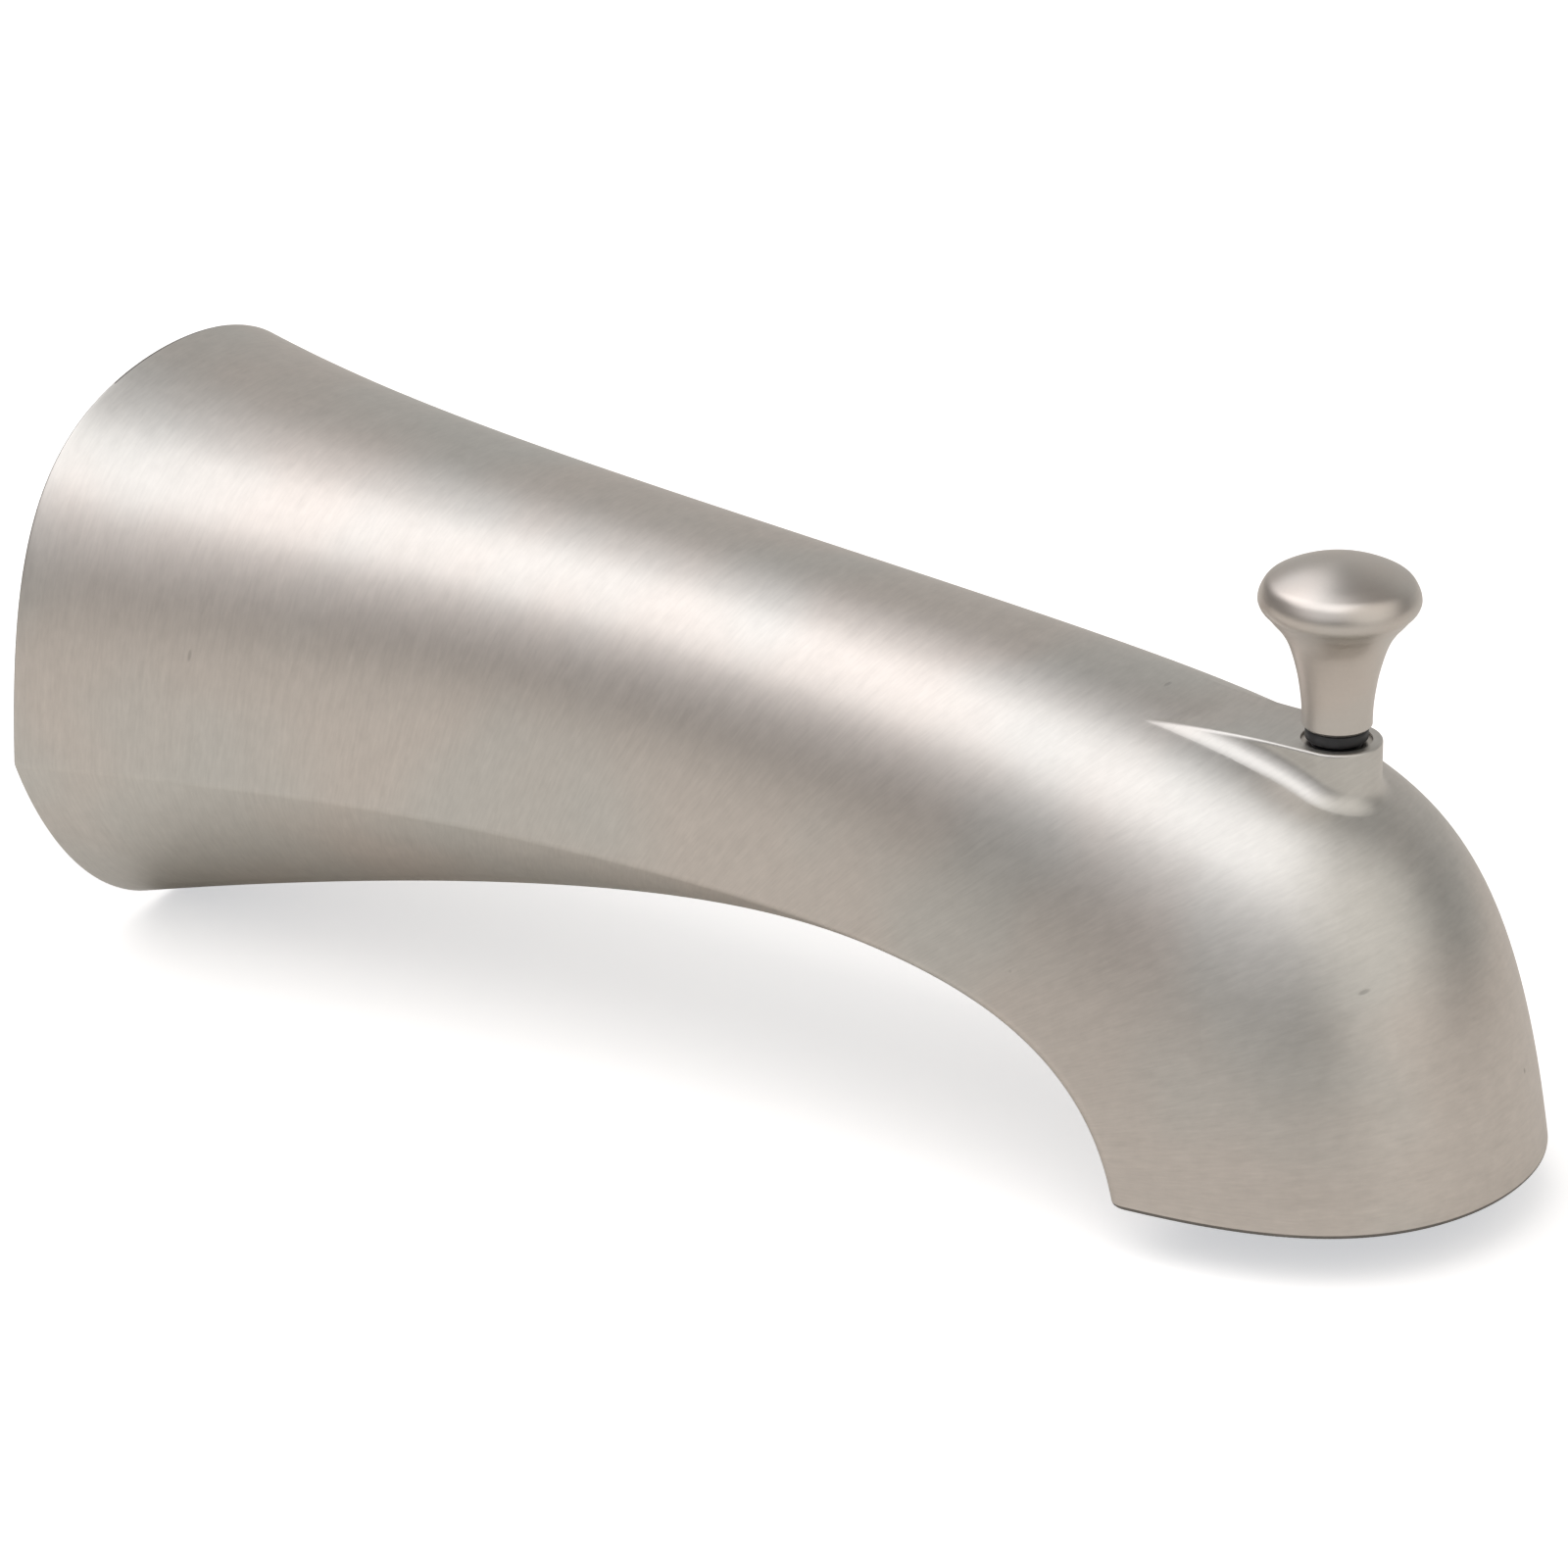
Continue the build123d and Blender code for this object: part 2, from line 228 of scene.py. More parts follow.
class Bench:
    """Modelling steps on one object at a time, all in edit mode or by applied modifiers."""

    @staticmethod
    def clear() -> None:
        """Leave nothing selected."""
        if bpy.context.mode != "OBJECT":
            bpy.ops.object.mode_set(mode="OBJECT")
        bpy.ops.object.select_all(action="DESELECT")

    @staticmethod
    def take(piece: bpy.types.Object) -> None:
        """Select one object and make it active."""
        Bench.clear()
        piece.select_set(True)
        bpy.context.view_layer.objects.active = piece

    @staticmethod
    def named(name: str) -> bpy.types.Object:
        """Name the object just added, and its mesh."""
        piece = bpy.context.object
        piece.name = name
        piece.data.name = name
        return piece

    @staticmethod
    def seat(piece: bpy.types.Object) -> None:
        """Put the object's place, turn and scale into its mesh."""
        Bench.take(piece)
        bpy.ops.object.transform_apply(location=True, rotation=True, scale=True)

    @staticmethod
    def tidy(piece: bpy.types.Object, merge: float = MERGE) -> None:
        """Merge doubles and point the faces outwards.

        Args:
            piece: The object.
            merge: Merging distance in millimetres.
        """
        Bench.take(piece)
        bpy.ops.object.mode_set(mode="EDIT")
        bpy.ops.mesh.select_all(action="SELECT")
        bpy.ops.mesh.remove_doubles(threshold=merge * MM)
        bpy.ops.mesh.dissolve_degenerate(threshold=merge * MM)
        bpy.ops.mesh.normals_make_consistent(inside=False)
        bpy.ops.object.mode_set(mode="OBJECT")

    @staticmethod
    def wrap(name: str, points: np.ndarray, fill_ends: bool = False) -> bpy.types.Object:
        """Wrap a grid over a surface that is given row by row.

        Args:
            name: Name of the new object.
            points: Rows of points in millimetres, rows x columns x 3.
            fill_ends: Close the open edges that are left once doubles are merged.

        Returns:
            The new object.
        """
        rows, columns = points.shape[:2]
        Bench.clear()
        bpy.ops.mesh.primitive_grid_add(x_subdivisions=columns - 1, y_subdivisions=rows - 1, size=2)
        piece = Bench.named(name)
        flat = np.empty(rows * columns * 3)
        piece.data.vertices.foreach_get("co", flat)
        flat = flat.reshape(-1, 3)
        column = np.rint((flat[:, 0] + 1) / 2 * (columns - 1)).astype(int)
        row = np.rint((flat[:, 1] + 1) / 2 * (rows - 1)).astype(int)
        piece.data.vertices.foreach_set("co", (points[row, column] * MM).ravel())
        piece.data.update()
        Bench.take(piece)
        bpy.ops.object.mode_set(mode="EDIT")
        bpy.ops.mesh.select_all(action="SELECT")
        bpy.ops.mesh.remove_doubles(threshold=MERGE * MM)
        if fill_ends:
            bpy.ops.mesh.select_all(action="DESELECT")
            bpy.ops.mesh.select_mode(type="EDGE")
            bpy.ops.mesh.select_non_manifold(
                extend=False, use_wire=False, use_multi_face=False, use_verts=False
            )
            bpy.ops.mesh.edge_face_add()
        bpy.ops.mesh.select_all(action="SELECT")
        bpy.ops.mesh.normals_make_consistent(inside=False)
        bpy.ops.object.mode_set(mode="OBJECT")
        return piece

    @staticmethod
    def select_edges(piece: bpy.types.Object, wanted: Callable[[Vector, Vector], bool]) -> None:
        """Select the edges that pass a test, and leave the object in edit mode.

        Args:
            piece: The object.
            wanted: The test, on the two ends of an edge in millimetres.
        """
        Bench.take(piece)
        bpy.ops.object.mode_set(mode="EDIT")
        bpy.ops.mesh.select_mode(type="EDGE")
        bpy.ops.mesh.select_all(action="DESELECT")
        mesh = bmesh.from_edit_mesh(piece.data)
        for edge in mesh.edges:
            if wanted(edge.verts[0].co / MM, edge.verts[1].co / MM):
                edge.select_set(True)
        bmesh.update_edit_mesh(piece.data)

    @staticmethod
    def box(name: str, low: Sequence[float], high: Sequence[float]) -> bpy.types.Object:
        """Add a box between two corners, in millimetres."""
        Bench.clear()
        middle = [(a + b) / 2 * MM for a, b in zip(low, high)]
        spans = [(b - a) * MM for a, b in zip(low, high)]
        bpy.ops.mesh.primitive_cube_add(size=1, location=middle, scale=spans)
        piece = Bench.named(name)
        Bench.seat(piece)
        return piece

    @staticmethod
    def rod(name: str, radius: float, start: Vector, end: Vector, sides: int = 96) -> bpy.types.Object:
        """Add a cylinder between two points.

        Args:
            name: Name of the new object.
            radius: Radius in millimetres.
            start: Centre of one end, in millimetres.
            end: Centre of the other end.
            sides: Number of sides.

        Returns:
            The new object.
        """
        Bench.clear()
        along = end - start
        bpy.ops.mesh.primitive_cylinder_add(
            vertices=sides,
            radius=radius * MM,
            depth=along.length * MM,
            location=(start + end) / 2 * MM,
            rotation=along.to_track_quat("Z", "Y").to_euler(),
        )
        piece = Bench.named(name)
        Bench.seat(piece)
        return piece

    @staticmethod
    def slot_plate(
        name: str, x: float, thick: float, z: float, half_w: float, half_h: float
    ) -> bpy.types.Object:
        """Add an upright plate with half-round ends, facing the nose.

        Args:
            name: Name of the new object.
            x: Where the plate starts, in millimetres.
            thick: Its thickness.
            z: Height of its middle.
            half_w: Half its width.
            half_h: Half its height, and the radius of its ends.

        Returns:
            The new object.
        """
        piece = Bench.rod(name, half_h, Vector((x, 0, z)), Vector((x + thick, 0, z)), SMALL_SIDES)
        reach = (half_w - half_h) * MM
        for vertex in piece.data.vertices:
            if abs(vertex.co.y) > MERGE * MM:
                vertex.co.y += math.copysign(reach, vertex.co.y)
        return piece

    @staticmethod
    def combine(piece: bpy.types.Object, tool: bpy.types.Object, how: Join) -> None:
        """Combine a closed mesh into another and delete it.

        Args:
            piece: The object that is kept.
            tool: The object that is used up.
            how: Union, difference or intersection.
        """
        Bench.take(piece)
        step = piece.modifiers.new("combine", "BOOLEAN")
        step.operation = how.value
        step.solver = "MANIFOLD"
        step.object = tool
        bpy.ops.object.modifier_apply(modifier=step.name)
        bpy.data.objects.remove(tool, do_unlink=True)

    @staticmethod
    def turned(name: str, outline: Sequence[Point], centre: float, sides: int) -> bpy.types.Object:
        """Spin an outline about an upright axis.

        Args:
            name: Name of the new object.
            outline: Radius and height of each point, in millimetres.
            centre: The axis's place along X.
            sides: Steps of the turn.

        Returns:
            The new closed object.
        """
        Bench.clear()
        bpy.ops.mesh.primitive_circle_add(vertices=len(outline), radius=1)
        piece = Bench.named(name)
        for vertex, (radius, height) in zip(piece.data.vertices, outline):
            vertex.co = ((centre + radius) * MM, 0, height * MM)
        Bench.take(piece)
        bpy.ops.object.mode_set(mode="EDIT")
        bpy.ops.mesh.select_all(action="SELECT")
        bpy.ops.mesh.spin(steps=sides, angle=math.tau, center=(centre * MM, 0, 0), axis=(0, 0, 1))
        bpy.ops.object.mode_set(mode="OBJECT")
        Bench.tidy(piece)
        return piece

    @staticmethod
    def smooth(piece: bpy.types.Object, angle: float, weigh: bool = False) -> None:
        """Shade smooth up to an angle.

        Args:
            piece: The object.
            angle: Largest angle in degrees that is shaded smooth.
            weigh: Let the large faces rule the shading, which hides slivers.
        """
        Bench.take(piece)
        bpy.ops.object.shade_smooth_by_angle(angle=math.radians(angle))
        if weigh:
            step = piece.modifiers.new("weigh", "WEIGHTED_NORMAL")
            step.keep_sharp = True
            step.weight = 60
            bpy.ops.object.modifier_apply(modifier=step.name)


# Shader graphs


class Value:
    """A node's output that works in Python sums: each operator adds its Math node."""

    def __init__(self, graph: "Graph", socket: bpy.types.NodeSocket) -> None:
        """Wrap a socket of a graph."""
        self.graph = graph
        self.socket = socket

    def _math(self, operation: str, *operands: "Operand") -> "Value":
        """Add one Math node over the operands."""
        return self.graph.node("ShaderNodeMath", {"operation": operation}, dict(enumerate(operands))).out(0)

    def __add__(self, other: "Operand") -> "Value":
        """self + other."""
        return self._math("ADD", self, other)

    __radd__ = __add__

    def __sub__(self, other: "Operand") -> "Value":
        """self - other."""
        return self._math("SUBTRACT", self, other)

    def __rsub__(self, other: "Operand") -> "Value":
        """other - self."""
        return self._math("SUBTRACT", other, self)

    def __mul__(self, other: "Operand") -> "Value":
        """self * other."""
        return self._math("MULTIPLY", self, other)

    __rmul__ = __mul__

    def least(self, other: "Operand") -> "Value":
        """The smaller of two values."""
        return self._math("MINIMUM", self, other)

    def most(self, other: "Operand") -> "Value":
        """The larger of two values."""
        return self._math("MAXIMUM", self, other)

    def ramp(self, low: float, high: float) -> "Value":
        """Rise smoothly from 0 at low to 1 at high, or fall where high is the lower."""
        node = self.graph.node(
            "ShaderNodeMapRange",
            {"interpolation_type": "SMOOTHSTEP", "clamp": True},
            {"Value": self, "From Min": low, "From Max": high, "To Min": 0.0, "To Max": 1.0},
        )
        return node.out("Result")


Operand = Union[Value, float]


class Made:
    """A node that has just been made, by its outputs."""

    def __init__(self, graph: "Graph", node: bpy.types.Node) -> None:
        """Wrap a node of a graph."""
        self.graph = graph
        self.node = node

    def out(self, name: Union[str, int] = 0) -> Value:
        """One output of the node, by name, identifier or place."""
        if isinstance(name, int):
            return Value(self.graph, self.node.outputs[name])
        found = next((s for s in self.node.outputs if s.identifier == name), None)
        return Value(self.graph, found or self.node.outputs[name])


class Graph:
    """The nodes of one material or of the world."""

    SPECK_CORE = 0.35
    SPECK_FADE = 0.004

    def __init__(self, tree: bpy.types.NodeTree) -> None:
        """Start with an empty tree."""
        self.tree = tree
        self.tree.nodes.clear()

    def node(
        self,
        kind: str,
        settings: Optional[Mapping[str, object]] = None,
        sockets: Optional[Mapping[Union[str, int], object]] = None,
    ) -> Made:
        """Add a node.

        Args:
            kind: Node type, such as ShaderNodeTexNoise.
            settings: Properties, set first.
            sockets: Inputs by name, identifier or place, each with a value or a Value to link.

        Returns:
            The node made.
        """
        node = self.tree.nodes.new(kind)
        for name, setting in (settings or {}).items():
            setattr(node, name, setting)
        for name, given in (sockets or {}).items():
            socket = node.inputs[name] if isinstance(name, int) else self._input(node, name)
            if isinstance(given, Value):
                self.tree.links.new(given.socket, socket)
            elif isinstance(given, tuple) and len(given) == 3 and socket.type == "RGBA":
                socket.default_value = (*given, 1.0)
            else:
                socket.default_value = given
        return Made(self, node)

    @staticmethod
    def _input(node: bpy.types.Node, name: str) -> bpy.types.NodeSocket:
        """Find an input by identifier, then by name."""
        return next((s for s in node.inputs if s.identifier == name), None) or node.inputs[name]

    def blend(self, factor: Operand, first: object, second: object) -> Value:
        """Mix two colours by a factor."""
        node = self.node(
            "ShaderNodeMix",
            {"data_type": "RGBA", "clamp_factor": True},
            {"Factor_Float": factor, "A_Color": first, "B_Color": second},
        )
        return node.out("Result_Color")

    def tint(self, colour: object, amount: Operand) -> Value:
        """Make a colour lighter or darker by an amount that may change over the surface."""
        sockets = {"Vector": colour, "Scale": amount}
        return self.node("ShaderNodeVectorMath", {"operation": "SCALE"}, sockets).out("Vector")

    def together(self, first: Value, second: Value) -> Value:
        """The sum of two colours."""
        return self.node("ShaderNodeVectorMath", {"operation": "ADD"}, {0: first, 1: second}).out("Vector")

    def place(self) -> Value:
        """Object coordinates, in metres."""
        return self.node("ShaderNodeTexCoord").out("Object")

    def attribute(self, name: str) -> Made:
        """A stored attribute of the mesh."""
        return self.node("ShaderNodeAttribute", {"attribute_name": name})

    def stretch(self, vector: Value, scale: Triple) -> Value:
        """Scale a pattern's coordinates, each axis by itself."""
        sockets = {"Vector": vector, "Scale": scale}
        return self.node("ShaderNodeMapping", {"vector_type": "POINT"}, sockets).out("Vector")

    def noise(self, vector: Value, scale: float, detail: float = 2.0, rough: float = 0.5) -> Value:
        """Noise from about 0 to 1 over a pattern's coordinates."""
        sockets = {"Vector": vector, "Scale": scale, "Detail": detail, "Roughness": rough}
        return self.node("ShaderNodeTexNoise", {"noise_dimensions": "3D"}, sockets).out("Fac")

    def specks(self, vector: Value, scale: float, radius: float, share: float) -> Value:
        """Small round specks, 1 at their middles.

        Args:
            vector: The pattern's coordinates.
            scale: Cells per metre.
            radius: Radius of a speck as a share of a cell.
            share: Share of the cells that have one.

        Returns:
            The mask of the specks.
        """
        sockets = {"Vector": vector, "Scale": scale, "Randomness": 1.0}
        cells = self.node("ShaderNodeTexVoronoi", {}, sockets)
        chance = self.node("ShaderNodeSeparateColor", {}, {0: cells.out("Color")}).out(0)
        spot = cells.out("Distance").ramp(radius, radius * self.SPECK_CORE)
        return spot * chance.ramp(share + self.SPECK_FADE, share)

    def bump(
        self, height: Operand, depth: float, strength: float = 1.0, under: Optional[Value] = None
    ) -> Value:
        """Turn a height pattern into a normal.

        Args:
            height: The pattern, 0 to 1.
            depth: Height in metres that 1 stands for.
            strength: Strength of the effect.
            under: A normal to add to.

        Returns:
            The new normal.
        """
        sockets: dict[Union[str, int], object] = {"Height": height, "Distance": depth, "Strength": strength}
        if under is not None:
            sockets["Normal"] = under
        return self.node("ShaderNodeBump", {}, sockets).out("Normal")

    def surface(self, sockets: Mapping[Union[str, int], object]) -> None:
        """Finish with a Principled surface."""
        shader = self.node("ShaderNodeBsdfPrincipled", {}, sockets)
        self.node("ShaderNodeOutputMaterial", {}, {"Surface": shader.out(0)})


# Finishes


class Finish:
    """A surface finish, which makes its material once."""

    name: str = ""

    def paint(self, graph: Graph) -> None:
        """Add the finish's nodes."""
        raise NotImplementedError

    def material(self) -> bpy.types.Material:
        """The material of this finish."""
        found = bpy.data.materials.get(self.name)
        if found is None:
            found = bpy.data.materials.new(self.name)
            found.use_nodes = True
            self.paint(Graph(found.node_tree))
        return found


@dataclass(frozen=True)
class SatinNickel(Finish):
    """Warm grey plating with fine lines from the abrasive belt, which run round the casting."""

    name: str = "brushed_nickel"
    colour: Colour = (0.62, 0.59, 0.55)
    warm: Colour = (0.65, 0.59, 0.54)
    cool: Colour = (0.59, 0.59, 0.56)
    rough: float = 0.39
    line_depth: float = 0.0000016
    mark_depth: float = 0.00004
    fine_scale: Triple = (3600, 520, 520)
    broad_scale: Triple = (1500, 110, 110)
    haze_scale: Triple = (160, 60, 60)
    nick_scale: Triple = (330, 95, 95)
    mottle_scale: float = 520.0
    tint_scale: float = 34.0
    pit_scale: float = 210.0
    tint_share: float = 0.55
    # Pointiness over which sharp edges get a painted highlight.
    ridge: Point = (0.53, 0.58)
    attribute: str = "along"

    def paint(self, graph: Graph) -> None:
        """Lines round the section, slow tint changes, haze, pits, short scratches and a painted highlight on
        sharp edges.
        """
        way = graph.attribute(self.attribute).out("Vector")
        place = graph.place()
        fine = graph.noise(graph.stretch(way, self.fine_scale), 1.0, 3.0, 0.6)
        broad = graph.noise(graph.stretch(way, self.broad_scale), 1.0, 2.0, 0.55)
        lines = fine * 0.65 + broad * 0.35
        mottle = graph.noise(place, self.mottle_scale, 3.0, 0.6)
        slow = graph.noise(place, self.tint_scale, 2.0, 0.5)
        haze = graph.noise(graph.stretch(way, self.haze_scale), 1.0, 3.0, 0.6)
        pits = graph.specks(place, self.pit_scale, 0.075, 0.055)
        nicks = graph.specks(graph.stretch(way, self.nick_scale), 1.0, 0.085, 0.03)
        marks = pits.most(nicks)
        tint = graph.blend(slow.ramp(0.38, 0.62), self.cool, self.warm)
        base = graph.blend(self.tint_share, self.colour, tint)
        shade = 0.77 + lines * 0.33 + mottle * 0.13 - marks * 0.22
        # Sharp convex edges are painted lighter and made a little less rough: a painted highlight along the
        # edges.
        edge = graph.node("ShaderNodeNewGeometry").out("Pointiness").ramp(*self.ridge)
        colour = graph.tint(base, shade + edge * 0.06)
        rough = self.rough + (lines - 0.5) * 0.12 + (haze - 0.5) * 0.07 + marks * 0.15 - edge * 0.05
        normal = graph.bump(lines, self.line_depth)
        normal = graph.bump(1.0 - marks, self.mark_depth, 0.6, normal)
        graph.surface({"Base Color": colour, "Metallic": 1.0, "Roughness": rough, "Normal": normal})


@dataclass(frozen=True)
class TurnedNickel(Finish):
    """The same plating on a turned piece, whose lines run round an upright axis."""

    name: str = "turned_nickel"
    colour: Colour = (0.605, 0.575, 0.535)
    warm: Colour = (0.63, 0.575, 0.525)
    rough: float = 0.35
    line_depth: float = 0.0000003
    stretch: float = 0.2
    quarter_turn: float = 0.25

    def paint(self, graph: Graph) -> None:
        """Lathe lines level with the cap, slow tint changes and a few specks."""
        place = graph.place()
        lines = graph.noise(graph.stretch(place, (160, 160, 3800)), 1.0, 2.0, 0.5)
        grain = graph.noise(place, 2600.0, 2.0, 0.5)
        slow = graph.noise(place, 70.0, 2.0, 0.5)
        specks = graph.specks(place, 330.0, 0.07, 0.05)
        base = graph.blend(slow.ramp(0.4, 0.62), self.colour, self.warm)
        colour = graph.tint(base, 0.955 + lines * 0.04 + grain * 0.05 - specks * 0.2)
        rough = self.rough + (lines - 0.5) * 0.04 + (slow - 0.5) * 0.06 + specks * 0.12
        normal = graph.bump(lines * 0.2 + grain * 0.8, self.line_depth)
        graph.surface(
            {"Base Color": colour, "Metallic": 1.0, "Roughness": rough, "Normal": normal,
             "Anisotropic": self.stretch, "Anisotropic Rotation": self.quarter_turn}
        )


@dataclass(frozen=True)
class CastSkin(Finish):
    """The unpolished inside of the casting: dull grey, pebbled, with stains from the plating bath."""

    name: str = "cast_inside"
    colour: Colour = (0.36, 0.345, 0.32)
    stain: Colour = (0.24, 0.225, 0.20)
    rough: float = 0.58

    def paint(self, graph: Graph) -> None:
        """Cast pebble, cloudy stains and shiny high spots."""
        place = graph.place()
        pebble = graph.noise(place, 900.0, 4.0, 0.6)
        cloud = graph.noise(place, 60.0, 4.0, 0.62)
        shine = pebble.ramp(0.55, 0.75)
        colour = graph.tint(graph.blend(cloud.ramp(0.42, 0.7), self.colour, self.stain), 0.9 + shine * 0.25)
        rough = self.rough + (cloud - 0.5) * 0.25 - shine * 0.14
        normal = graph.bump(pebble, 0.00006, 0.8)
        graph.surface({"Base Color": colour, "Metallic": 0.9, "Roughness": rough, "Normal": normal})


@dataclass(frozen=True)
class ShadedRim(Finish):
    """Painted shade on the ends of the casting: their rim faces are coloured dark and dull, standing for the
    dark line of shade along the rims.
    """

    name: str = "shaded_rim"
    colour: Colour = (0.20, 0.19, 0.175)
    worn: Colour = (0.27, 0.255, 0.235)
    rough: float = 0.45

    def paint(self, graph: Graph) -> None:
        """Fine grit, cloudy patches and a few nicks."""
        place = graph.place()
        grit = graph.noise(place, 3200.0, 3.0, 0.6)
        cloud = graph.noise(place, 140.0, 3.0, 0.6)
        nicks = graph.specks(place, 420.0, 0.12, 0.06)
        base = graph.blend(cloud.ramp(0.42, 0.68), self.colour, self.worn)
        colour = graph.tint(base, 0.93 + grit * 0.12 - nicks * 0.2)
        rough = self.rough + (grit - 0.5) * 0.15 + (cloud - 0.5) * 0.12 + nicks * 0.1
        normal = graph.bump(grit, 0.000004, 0.8)
        graph.surface({"Base Color": colour, "Metallic": 1.0, "Roughness": rough, "Normal": normal})


@dataclass(frozen=True)
class Machined(Finish):
    """Metal as it leaves the lathe or the saw, with tool marks along one axis."""

    name: str = "machined_brass"
    colour: Colour = (0.72, 0.55, 0.27)
    dull: Colour = (0.50, 0.36, 0.17)
    rough: float = 0.27
    lines: Triple = (4200, 90, 90)
    line_depth: float = 0.000003

    def paint(self, graph: Graph) -> None:
        """Tool marks, tarnish in patches and small specks."""
        place = graph.place()
        marks = graph.noise(graph.stretch(place, self.lines), 1.0, 2.0, 0.5)
        patch = graph.noise(place, 95.0, 4.0, 0.6)
        specks = graph.specks(place, 420.0, 0.12, 0.08)
        tarnish = (patch.ramp(0.5, 0.72) * 0.6 + specks * 0.5).least(1.0)
        colour = graph.tint(graph.blend(tarnish, self.colour, self.dull), 0.93 + marks * 0.14)
        rough = self.rough + (marks - 0.5) * 0.16 + tarnish * 0.2
        normal = graph.bump(marks, self.line_depth)
        graph.surface({"Base Color": colour, "Metallic": 1.0, "Roughness": rough, "Normal": normal})


@dataclass(frozen=True)
class BlackRubber(Finish):
    """Moulded black rubber with a faint bloom."""

    name: str = "black_rubber"
    colour: Colour = (0.012, 0.013, 0.015)
    bloom: Colour = (0.045, 0.047, 0.05)
    rough: float = 0.42

    def paint(self, graph: Graph) -> None:
        """Fine moulded grain and patchy bloom."""
        place = graph.place()
        grain = graph.noise(place, 5200.0, 3.0, 0.6)
        patch = graph.noise(place, 260.0, 3.0, 0.6)
        colour = graph.blend(patch.ramp(0.45, 0.75) * 0.6 + grain * 0.15, self.colour, self.bloom)
        rough = self.rough + (patch - 0.5) * 0.2 + (grain - 0.5) * 0.12
        normal = graph.bump(grain, 0.000008, 0.7)
        graph.surface({"Base Color": colour, "Metallic": 0.0, "Roughness": rough, "Normal": normal})


@dataclass(frozen=True)
class WhiteAcetal(Finish):
    """Moulded off-white plastic, slightly waxy."""

    name: str = "white_acetal"
    colour: Colour = (0.80, 0.79, 0.75)
    worn: Colour = (0.70, 0.68, 0.62)
    rough: float = 0.38

    def paint(self, graph: Graph) -> None:
        """Flow marks, fine texture and faint wear."""
        place = graph.place()
        grain = graph.noise(place, 3800.0, 2.0, 0.5)
        flow = graph.noise(graph.stretch(place, (300, 120, 500)), 1.0, 3.0, 0.6)
        colour = graph.blend(flow.ramp(0.5, 0.75) * 0.7, self.colour, self.worn)
        rough = self.rough + (flow - 0.5) * 0.15 + (grain - 0.5) * 0.06
        normal = graph.bump(grain, 0.000006, 0.5)
        graph.surface(
            {"Base Color": colour, "Roughness": rough, "Normal": normal, "Subsurface Weight": 0.1,
             "Subsurface Scale": 0.001}
        )


# The casting


